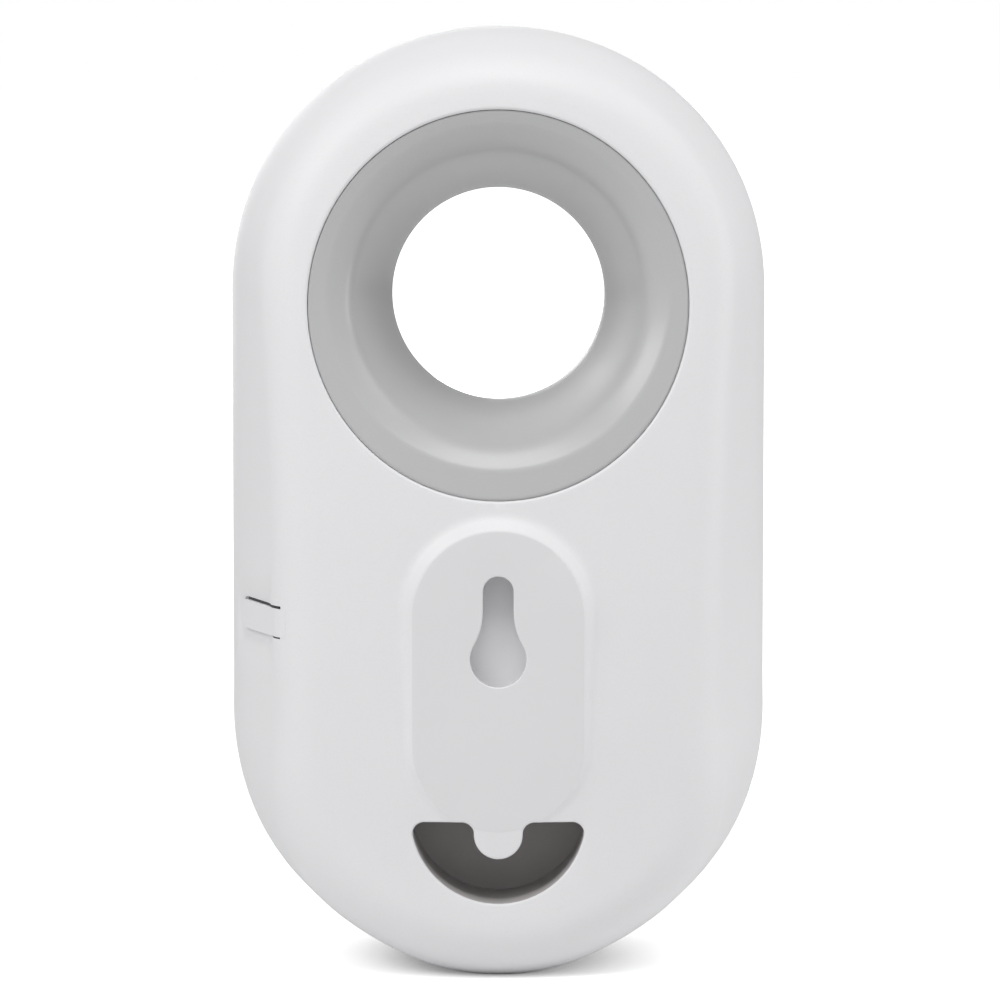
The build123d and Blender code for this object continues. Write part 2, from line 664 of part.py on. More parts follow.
def make_tamper_switch():
    """Body of the tamper switch, on the chassis deck."""
    x, z = TAMPER_SPOT
    body = prism(Pos(x, z) * RectangleRounded(6.2, 6.2, 0.5), -3.4, DECK_Y)
    return body - prism(disc(x, z, 1.75), -4, -0.9)


def make_tamper_plunger():
    """Plunger of the tamper switch, held down by the cover's post."""
    x, z = TAMPER_SPOT
    stem = prism(disc(x, z, 1.5), -6.0, -1.2)
    return chamfer(stem.edges().group_by(Axis.Y)[0], 0.5)


def make_pairing_switch():
    """Body of the pairing button's switch, on the chassis deck."""
    x, z = BUTTON_SPOT
    body = prism(Pos(x, z) * RectangleRounded(7.0, 7.0, 0.5), -3.0, DECK_Y)
    return body - prism(disc(x, z, 2.45), -4, -1.2)


def make_pairing_button():
    """Round cap of the pairing button, reached with the cover off."""
    x, z = BUTTON_SPOT
    cap = prism(disc(x, z, 2.2), -4.6, -2.2)
    return chamfer(cap.edges().group_by(Axis.Y)[0], 0.5)


def make_status_lens():
    """Light pipe of the status light, flush in the front face."""
    lens = prism(disc(0, 28.0, 1.75), 9.0, FRONT_Y)
    return lens + prism(disc(0, 28.0, 2.6), CASE_INSIDE_Y - 1.0, CASE_INSIDE_Y)


def screws(spots, head_y, length, shank):
    """Pan-head screws driven towards the front from head_y, one at each spot."""
    group = Part()
    for x, z in spots:
        head = prism(disc(x, z, 2.6), head_y - 1.7, head_y)
        head = chamfer(head.edges().group_by(Axis.Y)[0], 0.6)
        group += head + prism(disc(x, z, shank), head_y, head_y + length)
    return group


def make_case_screws():
    """The six screws that hold the chassis to the front case's posts."""
    return screws(SCREW_SPOTS, DECK_Y, 9.0, 1.2)


def make_board_screws():
    """The four screws that hold the board on the chassis's pillars."""
    group = Part()
    for x, z in BOARD_SCREW_SPOTS:
        front = BOARD_Y + BOARD_THICKNESS
        head = prism(disc(x, z, 2.2), front, front + 1.4)
        group += head + prism(disc(x, z, 1.0), DECK_Y + DECK_THICKNESS, front)
    return group


def make_sounder_leads():
    """The two thin leads from the board to the sounder's rear."""
    leads = Part()
    for x in (-3.0, 3.0):
        front = BOARD_Y + BOARD_THICKNESS
        leads += prism(disc(x, SOUNDER_Z - 8.0, 0.6), front, SOUNDER_Y)
    return leads


def write(name, solid):
    """Saves one node under its own name."""
    export_step(solid, os.path.join("parts", name + ".step"))


def main():
    os.makedirs("parts", exist_ok=True)
    write("front_case", make_front_case())
    write("rear_cover", make_rear_cover())
    write("release_tongue", make_release_tongue())
    write("horn_ring", make_horn_ring())
    write("front_flare", make_front_flare())
    write("chassis", make_chassis())
    write("recess_cup", make_recess_cup())
    for index in range(4):
        write("battery_cell_" + str(index + 1), make_cell(index))
    write("battery_contacts_low", make_contacts_low())
    write("battery_contacts_high", make_contacts_high())
    write("main_board", make_main_board())
    write("radio_shield", on_board(16.5, 33.0, 17.0, 13.0, 2.4, 0.8))
    write("control_chip", on_board(-12.0, 33.0, 9.0, 9.0, 1.2, 0.3))
    write("transformer", on_board(-24.5, 46.0, 8.0, 8.0, 6.0, 0.8))
    write("status_led", on_board(0.0, 28.0, 3.2, 2.8, 1.8, 0.3))
    write("antenna", make_antenna())
    write("capacitor", make_capacitor())
    write("sounder_cup", make_sounder_cup())
    write("sounder_disc", make_sounder_disc())
    write("sounder_crystal", make_sounder_crystal())
    write("sounder_leads", make_sounder_leads())
    write("sound_duct", make_sound_duct())
    write("tamper_switch", make_tamper_switch())
    write("tamper_plunger", make_tamper_plunger())
    write("pairing_switch", make_pairing_switch())
    write("pairing_button", make_pairing_button())
    write("status_lens", make_status_lens())
    write("case_screws", make_case_screws())
    write("board_screws", make_board_screws())


main()
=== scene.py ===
"""Looks of the wireless alarm siren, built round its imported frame."""

import json
import logging
import math
from dataclasses import dataclass
from enum import Enum

import bmesh
import bpy
from mathutils import Matrix, Vector
from mathutils.bvhtree import BVHTree


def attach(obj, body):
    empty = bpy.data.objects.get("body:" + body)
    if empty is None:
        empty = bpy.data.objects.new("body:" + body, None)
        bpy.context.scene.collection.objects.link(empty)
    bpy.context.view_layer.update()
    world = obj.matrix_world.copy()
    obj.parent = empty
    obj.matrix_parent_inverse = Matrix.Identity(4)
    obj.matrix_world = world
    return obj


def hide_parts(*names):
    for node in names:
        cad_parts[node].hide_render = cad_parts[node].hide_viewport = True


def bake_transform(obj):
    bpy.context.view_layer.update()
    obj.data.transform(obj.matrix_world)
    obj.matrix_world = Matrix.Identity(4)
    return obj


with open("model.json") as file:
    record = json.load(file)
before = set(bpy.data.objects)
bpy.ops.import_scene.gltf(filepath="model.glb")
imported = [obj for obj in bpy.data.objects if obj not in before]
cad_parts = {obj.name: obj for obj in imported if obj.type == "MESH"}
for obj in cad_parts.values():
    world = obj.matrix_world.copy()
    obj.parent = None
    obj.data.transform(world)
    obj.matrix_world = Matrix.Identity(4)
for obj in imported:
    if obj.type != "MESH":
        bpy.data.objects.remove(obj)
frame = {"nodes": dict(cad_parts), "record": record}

log = logging.getLogger("siren")
MM = 0.001
WHITE = (1.0, 1.0, 1.0)
# Where a ray towards the left flank starts, in millimetres.
FAR_LEFT = -60.0
Shape = bmesh.types.BMesh
Colour = tuple[float, float, float]
Outline = list[tuple[float, float]]


class Sock:
    """A shader value that takes part in plain Python arithmetic."""

    def __init__(self, tree: "Tree", link: bpy.types.NodeSocket | None) -> None:
        """Wraps one output socket of a node tree, or None for a node that has no output."""
        self.tree = tree
        self.link = link

    def _math(self, operation: str, first: object, second: object) -> "Sock":
        """Adds a Math node.

        Args:
            operation: The node's operation.
            first: A socket or a number.
            second: A socket or a number.

        Returns:
            The node's result.
        """
        return self.tree.node("ShaderNodeMath", {"operation": operation}, {0: first, 1: second})

    def __add__(self, other: object) -> "Sock":
        """Sum."""
        return self._math("ADD", self, other)

    def __radd__(self, other: object) -> "Sock":
        """Sum, reflected."""
        return self._math("ADD", other, self)

    def __mul__(self, other: object) -> "Sock":
        """Product."""
        return self._math("MULTIPLY", self, other)

    def __rmul__(self, other: object) -> "Sock":
        """Product, reflected."""
        return self._math("MULTIPLY", other, self)

    def __or__(self, other: object) -> "Sock":
        """The larger of the two."""
        return self._math("MAXIMUM", self, other)

    def __ror__(self, other: object) -> "Sock":
        """The larger of the two, reflected."""
        return self._math("MAXIMUM", other, self)

    def __gt__(self, other: object) -> "Sock":
        """One where this value is the larger, else nought."""
        return self._math("GREATER_THAN", self, other)

    def __lt__(self, other: object) -> "Sock":
        """One where this value is the smaller, else nought."""
        return self._math("LESS_THAN", self, other)


def opaque(colour: Colour) -> tuple:
    """A colour with full alpha, as colour sockets take it."""
    return (*colour, 1.0)


def shade(colour: Colour, gain: float, lift: float = 0.0) -> Colour:
    """A colour times a gain, plus a lift."""
    return tuple(channel * gain + lift for channel in colour)


def around(middle: float, *layers: tuple[Sock, float]) -> Sock:
    """Varies a value evenly round its middle.

    Args:
        middle: The value where every layer is at one half.
        layers: Each a grey, and how far it moves the value from black to white.

    Returns:
        The varied value.
    """
    waves = [grey * amount for grey, amount in layers]
    return sum(waves[1:], waves[0]) + (middle - sum(amount for _, amount in layers) / 2.0)


class Tree:
    """A material's or world's node tree, filled by one general method."""

    def __init__(self, tree: bpy.types.NodeTree) -> None:
        """Empties the tree."""
        self.tree = tree
        tree.nodes.clear()

    def node(self, kind: str, settings: dict, inputs: dict, output: object = 0) -> Sock:
        """Adds a node.

        Args:
            kind: The node's type name.
            settings: Its properties, set first.
            inputs: Its sockets by name or index, each a value or a Sock.
            output: The output wanted, by name or index.

        Returns:
            That output.
        """
        node = self.tree.nodes.new(kind)
        for name, value in settings.items():
            setattr(node, name, value)
        for name, value in inputs.items():
            if isinstance(value, Sock):
                self.tree.links.new(value.link, node.inputs[name])
            else:
                node.inputs[name].default_value = value
        return Sock(self, node.outputs[output] if len(node.outputs) else None)

    def place(self) -> Sock:
        """The point on the piece in its own coordinates."""
        return self.node("ShaderNodeTexCoord", {}, {}, "Object")

    def noise(self, point: Sock, scale: float, detail: float = 2.0) -> Sock:
        """Soft random grey between nought and one."""
        inputs = {"Vector": point, "Scale": scale, "Detail": detail, "Roughness": 0.55}
        return self.node("ShaderNodeTexNoise", {}, inputs, "Fac")

    def blend(self, factor: Sock, first: object, second: object) -> Sock:
        """Mixes two colours.

        Args:
            factor: Nought for the first colour, one for the second.
            first: A socket or a colour.
            second: A socket or a colour.

        Returns:
            The mixed colour.
        """
        ends = [end if isinstance(end, Sock) else opaque(end) for end in (first, second)]
        sockets = {0: factor, 6: ends[0], 7: ends[1]}
        return self.node("ShaderNodeMix", {"data_type": "RGBA"}, sockets, 2)

    def fade(self, value: Sock, low: float, high: float) -> Sock:
        """Nought up to a low value, one from a high one, and smooth between."""
        inputs = {"Value": value, "From Min": low, "From Max": high}
        return self.node("ShaderNodeMapRange", {"interpolation_type": "SMOOTHSTEP"}, inputs)

    def bump(self, height: Sock, depth: float, strength: float) -> Sock:
        """Turns a height into a normal, depth in millimetres."""
        inputs = {"Strength": strength, "Distance": depth * MM, "Height": height}
        return self.node("ShaderNodeBump", {}, inputs)

    def ray(self, kind: str) -> Sock:
        """One for rays of a kind, else nought."""
        return self.node("ShaderNodeLightPath", {}, {}, f"Is {kind} Ray")

    def surface(self, inputs: dict) -> None:
        """Ends the tree in a Principled shader."""
        shader = self.node("ShaderNodeBsdfPrincipled", {}, inputs)
        self.node("ShaderNodeOutputMaterial", {}, {"Surface": shader})


def new_tree(name: str) -> tuple[bpy.types.Material, Tree]:
    """A new material and its emptied tree.

    Args:
        name: The material's name.

    Returns:
        The material and its Tree.
    """
    material = bpy.data.materials.new(name)
    material.use_nodes = True
    return material, Tree(material.node_tree)


@dataclass(frozen=True)
class MouldedPlastic:
    """Satin injection-moulded plastic with a fine spark-eroded grain, sizes in millimetres."""

    name: str
    colour: Colour
    roughness: float
    grain: float = 0.22
    depth: float = 0.006
    tint: float = 0.02
    sheen: float = 0.04
    sheen_roughness: float = 0.35
    face_y: float = -1000.0
    face_shade: float = 0.945
    pit_spacing: float = 0.6
    pit_edge: float = 0.62
    pit_strength: float = 0.35
    pit_shade: float = 0.97

    def material(self) -> bpy.types.Material:
        """Builds the material, a little darker where the part's flattest face lies beyond face_y.

        Returns:
            The material.
        """
        material, tree = new_tree(self.name)
        point = tree.place()
        cloud = tree.noise(point, 45.0, 3.0)
        grain = tree.noise(point, 1.0 / (self.grain * MM))
        spacing = {"Vector": point, "Scale": self.pit_spacing / (self.grain * MM)}
        pits = tree.node("ShaderNodeTexVoronoi", {}, spacing, "Distance")
        darker, lighter = (shade(self.colour, 1.0 + side * self.tint) for side in (-1.0, 1.0))
        colour = tree.blend(cloud, darker, lighter)
        speck = (pits > self.pit_edge) * self.pit_strength
        colour = tree.blend(speck, colour, shade(self.colour, self.pit_shade))
        from_wall = tree.node("ShaderNodeSeparateXYZ", {}, {0: point}, "Y")
        on_face = from_wall < self.face_y * MM
        tree.surface(
            {
                "Base Color": tree.blend(on_face, colour, shade(self.colour, self.face_shade)),
                "Roughness": around(self.roughness, (cloud, 0.08), (grain, 0.06)),
                "Specular IOR Level": 0.42,
                "Coat Weight": self.sheen,
                "Coat Roughness": self.sheen_roughness,
                "Normal": tree.bump(grain * 0.7 + pits * 0.3, self.depth, 0.6),
            }
        )
        return material


@dataclass(frozen=True)
class PlatedMetal:
    """Plated or rolled metal with fine directional scratches."""

    name: str
    colour: Colour
    roughness: float
    stretch: tuple = (1.0, 1.0, 14.0)
    dulling: float = 0.82
    scratch_depth: float = 0.004

    def material(self) -> bpy.types.Material:
        """Builds the material.

        Returns:
            The material.
        """
        material, tree = new_tree(self.name)
        point = tree.place()
        drawn = tree.node("ShaderNodeMapping", {}, {"Vector": point, "Scale": self.stretch})
        lines = tree.noise(drawn, 900.0, 3.0)
        cloud = tree.noise(point, 160.0)
        tree.surface(
            {
                "Base Color": tree.blend(cloud, shade(self.colour, self.dulling), self.colour),
                "Metallic": 1.0,
                "Roughness": around(self.roughness, (lines, 0.14), (cloud, 0.1)),
                "Normal": tree.bump(lines, self.scratch_depth, 0.5),
            }
        )
        return material


@dataclass(frozen=True)
class Resin:
    """Dark moulded resin or lacquer, faintly mottled."""

    name: str
    colour: Colour
    roughness: float
    coat: float = 0.0
    mottle_gain: float = 1.35
    mottle_lift: float = 0.004
    grain_depth: float = 0.005

    def material(self) -> bpy.types.Material:
        """Builds the material.

        Returns:
            The material.
        """
        material, tree = new_tree(self.name)
        point = tree.place()
        cloud = tree.noise(point, 300.0, 3.0)
        grain = tree.noise(point, 5200.0, 1.0)
        light = shade(self.colour, self.mottle_gain, self.mottle_lift)
        tree.surface(
            {
                "Base Color": tree.blend(cloud, self.colour, light),
                "Roughness": around(self.roughness, (grain, 0.12)),
                "Coat Weight": self.coat,
                "Normal": tree.bump(grain, self.grain_depth, 0.4),
            }
        )
        return material


class Slot(Enum):
    """The record's material slots."""

    SHELL = "white_shell"
    HORN = "grey_horn"
    FRAME = "dark_frame"
    CELL = "cell_can"
    SPRING = "spring_steel"
    BOARD = "board_laminate"
    SHIELD = "shield_tin"
    BLACK = "black_component"
    BRASS = "sounder_brass"
    CERAMIC = "sounder_ceramic"
    LENS = "clear_lens"
    SCREW = "screw_steel"


SHELL_WHITE = (0.856, 0.854, 0.868)
HORN_GREY = (0.535, 0.535, 0.54)
FRAME_GREY = (0.485, 0.465, 0.462)
FINISHES = {
    Slot.SHELL: MouldedPlastic("white_shell_satin", SHELL_WHITE, 0.46, face_y=-23.47),
    Slot.HORN: MouldedPlastic("grey_horn_satin", HORN_GREY, 0.33, sheen=0.35, sheen_roughness=0.24),
    Slot.FRAME: MouldedPlastic("dark_frame_matt", FRAME_GREY, 0.6, sheen=0.0),
    Slot.CELL: Resin("cell_sleeve", (0.05, 0.05, 0.055), 0.3, 0.4),
    Slot.SPRING: PlatedMetal("contact_nickel", (0.72, 0.70, 0.66), 0.3),
    Slot.BOARD: Resin("board_mask", (0.012, 0.10, 0.035), 0.34, 0.3),
    Slot.SHIELD: PlatedMetal("shield_tinplate", (0.70, 0.70, 0.69), 0.36),
    Slot.BLACK: Resin("component_black", (0.016, 0.016, 0.017), 0.5),
    Slot.BRASS: PlatedMetal("sounder_brass", (0.78, 0.56, 0.24), 0.3),
    Slot.CERAMIC: Resin("sounder_ceramic", (0.55, 0.53, 0.48), 0.35, 0.2),
    Slot.LENS: Resin("lens_clear", (0.70, 0.74, 0.76), 0.12, 0.6),
    Slot.SCREW: PlatedMetal("screw_zinc", (0.60, 0.60, 0.62), 0.32),
}


class Palette:
    """Makes each finish once and hands it out."""

    def __init__(self) -> None:
        """Starts empty."""
        self.made: dict[Slot, bpy.types.Material] = {}

    def get(self, slot: Slot) -> bpy.types.Material:
        """The material of a slot, made when it is first asked for.

        Args:
            slot: The slot.

        Returns:
            Its material.
        """
        if slot not in self.made:
            self.made[slot] = FINISHES[slot].material()
        return self.made[slot]

    def dress_frame(self) -> None:
        """Gives every node of the frame its slot's finish."""
        parts = frame["record"]["subparts"]
        slots = {part["node"]: Slot(part["material_slot"]) for part in parts}
        for name, node in frame["nodes"].items():
            material = self.get(slots[name])
            if not node.material_slots:
                node.data.materials.append(material)
            for worn in node.material_slots:
                worn.material = material
            log.info("frame node %s wears %s", name, material.name)


class Body(Enum):
    """The bodies that a piece can ride on."""

    HOUSING = "housing"
    COVER = "cover"
    TONGUE = "release_tongue"
    PLUNGER = "tamper_plunger"
    BUTTON = "pairing_button"


def point_mm(x: float, y: float, z: float) -> Vector:
    """A place in millimetres as metres."""
    return Vector((x, y, z)) * MM


def ease(share: float) -> float:
    """Nought to one, slow at both ends."""
    return share * share * (3.0 - 2.0 * share)


def lathe(profile: Outline, steps: int = 64) -> Shape:
    """Spins an outline once round the upright axis.

    Args:
        profile: Points of (radius, height) in millimetres, starting and ending on the axis.
        steps: How many sections go round.

    Returns:
        The closed shape in metres.
    """
    grid = bmesh.new()
    verts = [grid.verts.new(point_mm(radius, 0.0, height)) for radius, height in profile]
    edges = [grid.edges.new(pair) for pair in zip(verts, verts[1:])]
    bmesh.ops.spin(
        grid,
        geom=verts + edges,
        cent=(0, 0, 0),
        axis=(0, 0, 1),
        angle=2.0 * math.pi,
        steps=steps,
        use_merge=True,
    )
    bmesh.ops.remove_doubles(grid, verts=grid.verts, dist=1e-7)
    bmesh.ops.recalc_face_normals(grid, faces=grid.faces)
    return grid


def block(size: tuple, centre: tuple, rounding: float = 0.05) -> Shape:
    """A brick with rounded edges, millimetres in and metres out.

    Args:
        size: Its three sides.
        centre: Its middle.
        rounding: How far its edges are rounded.

    Returns:
        The closed shape.
    """
    grid = bmesh.new()
    bmesh.ops.create_cube(grid, size=1.0)
    bmesh.ops.scale(grid, vec=point_mm(*size), verts=grid.verts)
    bmesh.ops.bevel(
        grid,
        geom=grid.edges[:],
        offset=rounding * MM,
        segments=2,
        profile=0.5,
        affect="EDGES",
        material=-1,
    )
    bmesh.ops.translate(grid, vec=point_mm(*centre), verts=grid.verts)
    return grid


def add_copy(target: Shape, source: Shape, place: Matrix, index: int = 0) -> None:
    """Adds a placed copy of one shape to another.

    Args:
        target: The shape that grows.
        source: The shape that is copied.
        place: Where the copy goes.
        index: How far its material slots move up.
    """
    mesh = bpy.data.meshes.new("copy")
    source.to_mesh(mesh)
    mesh.transform(place)
    first = len(target.faces)
    target.from_mesh(mesh)
    target.faces.ensure_lookup_table()
    for face in target.faces[first:]:
        face.material_index += index
    bpy.data.meshes.remove(mesh)


def add_part(target: Shape, part: Shape, place: Matrix) -> None:
    """Adds a placed shape to another and frees it."""
    add_copy(target, part, place)
    part.free()


def along_y(x: float, y: float, z: float, forward: bool = True) -> Matrix:
    """Places a shape's upright axis along Y, millimetres in.

    Args:
        x: Where its foot goes, sideways.
        y: Where its foot goes, from the wall.
        z: Where its foot goes, upwards.
        forward: True when its top points away from the wall.

    Returns:
        The placing matrix.
    """
    angle = -90.0 if forward else 90.0
    return Matrix.Translation(point_mm(x, y, z)) @ Matrix.Rotation(math.radians(angle), 4, "X")


def carved(shape: Shape, tool: Shape) -> Shape:
    """Cuts one closed shape out of another.

    Args:
        shape: The shape that is cut.
        tool: The shape that cuts it.

    Returns:
        What is left.
    """
    objects = []
    for name, grid in (("carved_shape", shape), ("carving_tool", tool)):
        mesh = bpy.data.meshes.new(name)
        grid.to_mesh(mesh)
        objects.append(bpy.data.objects.new(name, mesh))
        bpy.context.scene.collection.objects.link(objects[-1])
    cut = objects[0].modifiers.new("cut", "BOOLEAN")
    cut.operation = "DIFFERENCE"
    cut.solver = "EXACT"
    cut.object = objects[1]
    ready = objects[0].evaluated_get(bpy.context.evaluated_depsgraph_get())
    result = bmesh.new()
    result.from_mesh(ready.to_mesh())
    ready.to_mesh_clear()
    for item in objects:
        mesh = item.data
        bpy.data.objects.remove(item)
        bpy.data.meshes.remove(mesh)
    return result


def frame_shape(*nodes: str) -> Shape:
    """A merged copy of one or more frame nodes.

    Args:
        nodes: The nodes' names.

    Returns:
        The copy in metres.
    """
    grid = bmesh.new()
    for name in nodes:
        grid.from_mesh(frame["nodes"][name].data)
    bmesh.ops.remove_doubles(grid, verts=grid.verts, dist=2e-6)
    return grid


def flank_tree() -> BVHTree:
    """The surface of the cover and its tongue, for rays to hit.

    Returns:
        The surface.
    """
    shell = frame_shape("rear_cover", "release_tongue")
    tree = BVHTree.FromBMesh(shell)
    shell.free()
    return tree


def verts_in(parts: list) -> list[bmesh.types.BMVert]:
    """The points among an operator's results."""
    return [part for part in parts if isinstance(part, bmesh.types.BMVert)]


def far_side(sheet: Shape) -> list[bmesh.types.BMVert]:
    """Doubles a sheet into a closed shape that is still flat, and gives its new side's points."""
    return verts_in(bmesh.ops.extrude_face_region(sheet, geom=sheet.faces[:])["geom"])


def face_way(sheet: Shape, way: Vector) -> None:
    """Turns the faces of an open sheet all to one side.

    Args:
        sheet: The sheet.
        way: The direction that they face on the whole.
    """
    bmesh.ops.recalc_face_normals(sheet, faces=sheet.faces)
    if sum(face.normal.dot(way) for face in sheet.faces) < 0.0:
        bmesh.ops.reverse_faces(sheet, faces=sheet.faces[:])


def oval_rows(rows: int, segments: int) -> tuple[Shape, list]:
    """Draws a round loop out row by row and closes the last row on the first.

    Args:
        rows: How many loops.
        segments: How many points go round.

    Returns:
        The mesh and the loops, each in order round, still all in one place.
    """
    grid = bmesh.new()
    bmesh.ops.create_circle(grid, cap_ends=False, segments=segments, radius=1.0)
    grid.verts.ensure_lookup_table()
    loops = [grid.verts[:]]
    edges = grid.edges[:]
    for _ in range(rows - 1):
        drawn = bmesh.ops.extrude_edge_only(grid, edges=edges)["geom"]
        loops.append(verts_in(drawn))
        edges = [part for part in drawn if isinstance(part, bmesh.types.BMEdge)]
    start = set(loops[0])
    first = [edge for edge in grid.edges if start.issuperset(edge.verts)]
    bmesh.ops.bridge_loops(grid, edges=first + edges)
    return grid, loops


@dataclass
class Bench:
    """Turns finished shapes into dressed pieces that ride on the frame."""

    palette: Palette

    def piece(
        self,
        name: str,
        grid: Shape,
        slots: list[Slot],
        body: Body | None,
        replaces: tuple = (),
        sharp: float = 32.0,
    ) -> bpy.types.Object:
        """Makes one piece.

        Args:
            name: The piece's name.
            grid: Its shape, which is freed.
            slots: Its finishes, in the order of its material slots.
            body: The body that it rides on, or None for a piece that rides on none.
            replaces: The frame nodes that it stands for.
            sharp: The angle over which an edge stays sharp.

        Returns:
            The new object.
        """
        mesh = bpy.data.meshes.new(name)
        grid.to_mesh(mesh)
        grid.free()
        for polygon in mesh.polygons:
            polygon.use_smooth = True
        mesh.set_sharp_from_angle(angle=math.radians(sharp))
        for slot in slots:
            mesh.materials.append(self.palette.get(slot))
        item = bpy.data.objects.new(name, mesh)
        bpy.context.scene.collection.objects.link(item)
        if body is not None:
            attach(item, body.value)
        if replaces:
            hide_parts(*replaces)
        log.info("piece %s on %s, %d faces", name, body, len(mesh.polygons))
        return item


@dataclass
class RearSurface:
    """The crowned rear surface that leans away above the pad, in millimetres."""

    wall_y: float = -23.44
    crown: float = 175.0
    lean: float = 520.0
    lean_start: float = 36.0

    def y(self, x: float, z: float) -> float:
        """Depth of the surface at x, z."""
        away = self.lean - math.sqrt(self.lean**2 - max(0.0, z - self.lean_start) ** 2)
        return self.wall_y + self.crown - math.sqrt((self.crown - away) ** 2 - x**2)


@dataclass
class HornRim:
    """The oval rim of the horn on the rear surface, in millimetres."""

    surface: RearSurface
    middle: float = 116.3
    half_width: float = 32.6
    half_height: float = 33.1

    def point(self, angle: float, grow: float, sink: float) -> Vector:
        """A point on the rim, or beside it.

        Args:
            angle: The direction from the rim's middle.
            grow: How far outside the rim.
            sink: How far under the rear surface.

        Returns:
            The point in millimetres.
        """
        x = (self.half_width + grow) * math.cos(angle)
        z = self.middle + (self.half_height + grow) * math.sin(angle)
        return Vector((x, self.surface.y(x, z) + sink, z))


@dataclass
class HornBell:
    """Rear half of the horn: narrow throat, soft bend, and a lip that slopes in from the rim."""

    bench: Bench
    rim: HornRim
    middle: float = 117.0
    sink: float = 0.42
    throat: float = 18.7
    throat_y: float = 9.0
    chamber: float = 29.6
    seat_front: float = 8.8
    seat_back: float = 10.0
    rise: float = 0.75
    wall: float = 1.8
    lip_slope: float = 0.24
    lip_shares: tuple = (0.12, 0.3, 0.5, 0.7, 0.88, 0.98)
    rim_depths: tuple = (0.06, 0.4, 3.0)
    segments: int = 256
    throat_overlap: float = 0.04
    back_lag: float = 0.06
    # Radius, and share of the way from the throat to the mouth.
    bore: tuple = (
        (18.7, 0.0),
        (19.2, 0.067),
        (19.8, 0.145),
        (20.6, 0.24),
        (21.5, 0.365),
        (22.4, 0.493),
        (23.2, 0.61),
        (23.9, 0.708),
        (24.5, 0.784),
        (25.0, 0.836),
        (25.5, 0.872),
        (26.1, 0.901),
        (26.8, 0.9255),
        (27.6, 0.949),
        (28.4, 0.97),
        (29.1, 0.987),
        (29.7, 1.0),
    )

    def _lip(self, angle: float, share: float) -> Vector:
        """A point on the lip.

        Args:
            angle: The direction from the horn's middle.
            share: Nought at the mouth, one at the rim.

        Returns:
            The point in millimetres.
        """
        mouth = self.bore[-1][0]
        x, z = mouth * math.cos(angle), self.middle + self.rise + mouth * math.sin(angle)
        far = self.rim.point(angle, 0.0, self.sink)
        near = Vector((x, far.y, z))
        spot = near.lerp(far, share)
        spot.y += self.lip_slope * (far - near).length * (1.0 - share)
        return spot

    def _bore(self, angle: float, radius: float, share: float) -> Vector:
        """A point on the bore or beside it.

        Args:
            angle: The direction from the horn's middle.
            radius: How far from the middle.
            share: Nought at the throat, one at the mouth.

        Returns:
            The point in millimetres.
        """
        mouth_y = self._lip(angle, 0.0).y
        y = self.throat_y + (mouth_y - self.throat_y) * share
        z = self.middle + self.rise * share + radius * math.sin(angle)
        return Vector((radius * math.cos(angle), y, z))

    def _section(self, angle: float) -> list[Vector]:
        """The closed outline of the wall in one direction, from the throat round and back.

        Args:
            angle: The direction from the horn's middle.

        Returns:
            The points in millimetres.
        """
        points = [self._bore(angle, self.throat, -self.throat_overlap)]
        points += [self._bore(angle, radius, share) for radius, share in self.bore]
        points += [self._lip(angle, share) for share in self.lip_shares]
        points += [self.rim.point(angle, 0.0, self.sink + depth) for depth in self.rim_depths]
        for radius, share in self.bore[-4::-3]:
            points.append(self._bore(angle, radius + self.wall, share - self.back_lag))
        seat = (
            (self.throat + self.wall, self.seat_front),
            (self.chamber, self.seat_front),
            (self.chamber, self.seat_back),
        )
        for radius, y in seat:
            x, z = radius * math.cos(angle), self.middle + radius * math.sin(angle)
            points.append(Vector((x, y, z)))
        return points

    def build(self) -> None:
        """Builds the bell, loop by loop, in place of the frame's ring."""
        count = len(self._section(0.0))
        grid, loops = oval_rows(count, self.segments)
        for spoke in zip(*loops):
            angle = math.atan2(spoke[0].co.y, spoke[0].co.x)
            for vert, point in zip(spoke, self._section(angle)):
                vert.co = point * MM
        bmesh.ops.recalc_face_normals(grid, faces=grid.faces)
        replaced = ("horn_ring",)
        self.bench.piece("horn_bell", grid, [Slot.HORN], Body.HOUSING, replaced, 40.0)


@dataclass
class HornTrim:
    """The soft seal that fills most of the gap between the horn's rim and the cover."""

    bench: Bench
    rim: HornRim
    inner: float = -0.12
    outer: float = 0.2
    sink: float = 0.56
    depth: float = 1.6
    segments: int = 240

    def build(self) -> None:
        """Builds the seal from an oval loop drawn out three times."""
        low = self.sink + self.depth
        rings = ((self.outer, low), (self.outer, self.sink), (self.inner, self.sink), (self.inner, low))
        grid, loops = oval_rows(len(rings), self.segments)
        for verts, (grow, sink) in zip(loops, rings):
            for vert in verts:
                angle = math.atan2(vert.co.y, vert.co.x)
                vert.co = self.rim.point(angle, grow, sink) * MM
        bmesh.ops.recalc_face_normals(grid, faces=grid.faces)
        self.bench.piece("horn_rim_seal", grid, [Slot.HORN], Body.HOUSING)


@dataclass(frozen=True)
class Shoulder:
    """How far one round end of the pill swells, in millimetres and degrees above its middle."""

    middle: float
    push: float
    peak: float
    end: float
    power: float = 1.4

    def swell(self, angle: float) -> float:
        """The swelling in one direction.

        Args:
            angle: The direction, nought at the flank and 90 at the tip.

        Returns:
            The swelling in millimetres.
        """
        if angle < self.peak:
            return self.push * math.sin(math.pi / 2.0 * angle / self.peak) ** self.power
        fall = min(1.0, (angle - self.peak) / (self.end - self.peak))
        return self.push * math.cos(math.pi / 2.0 * fall) ** 2


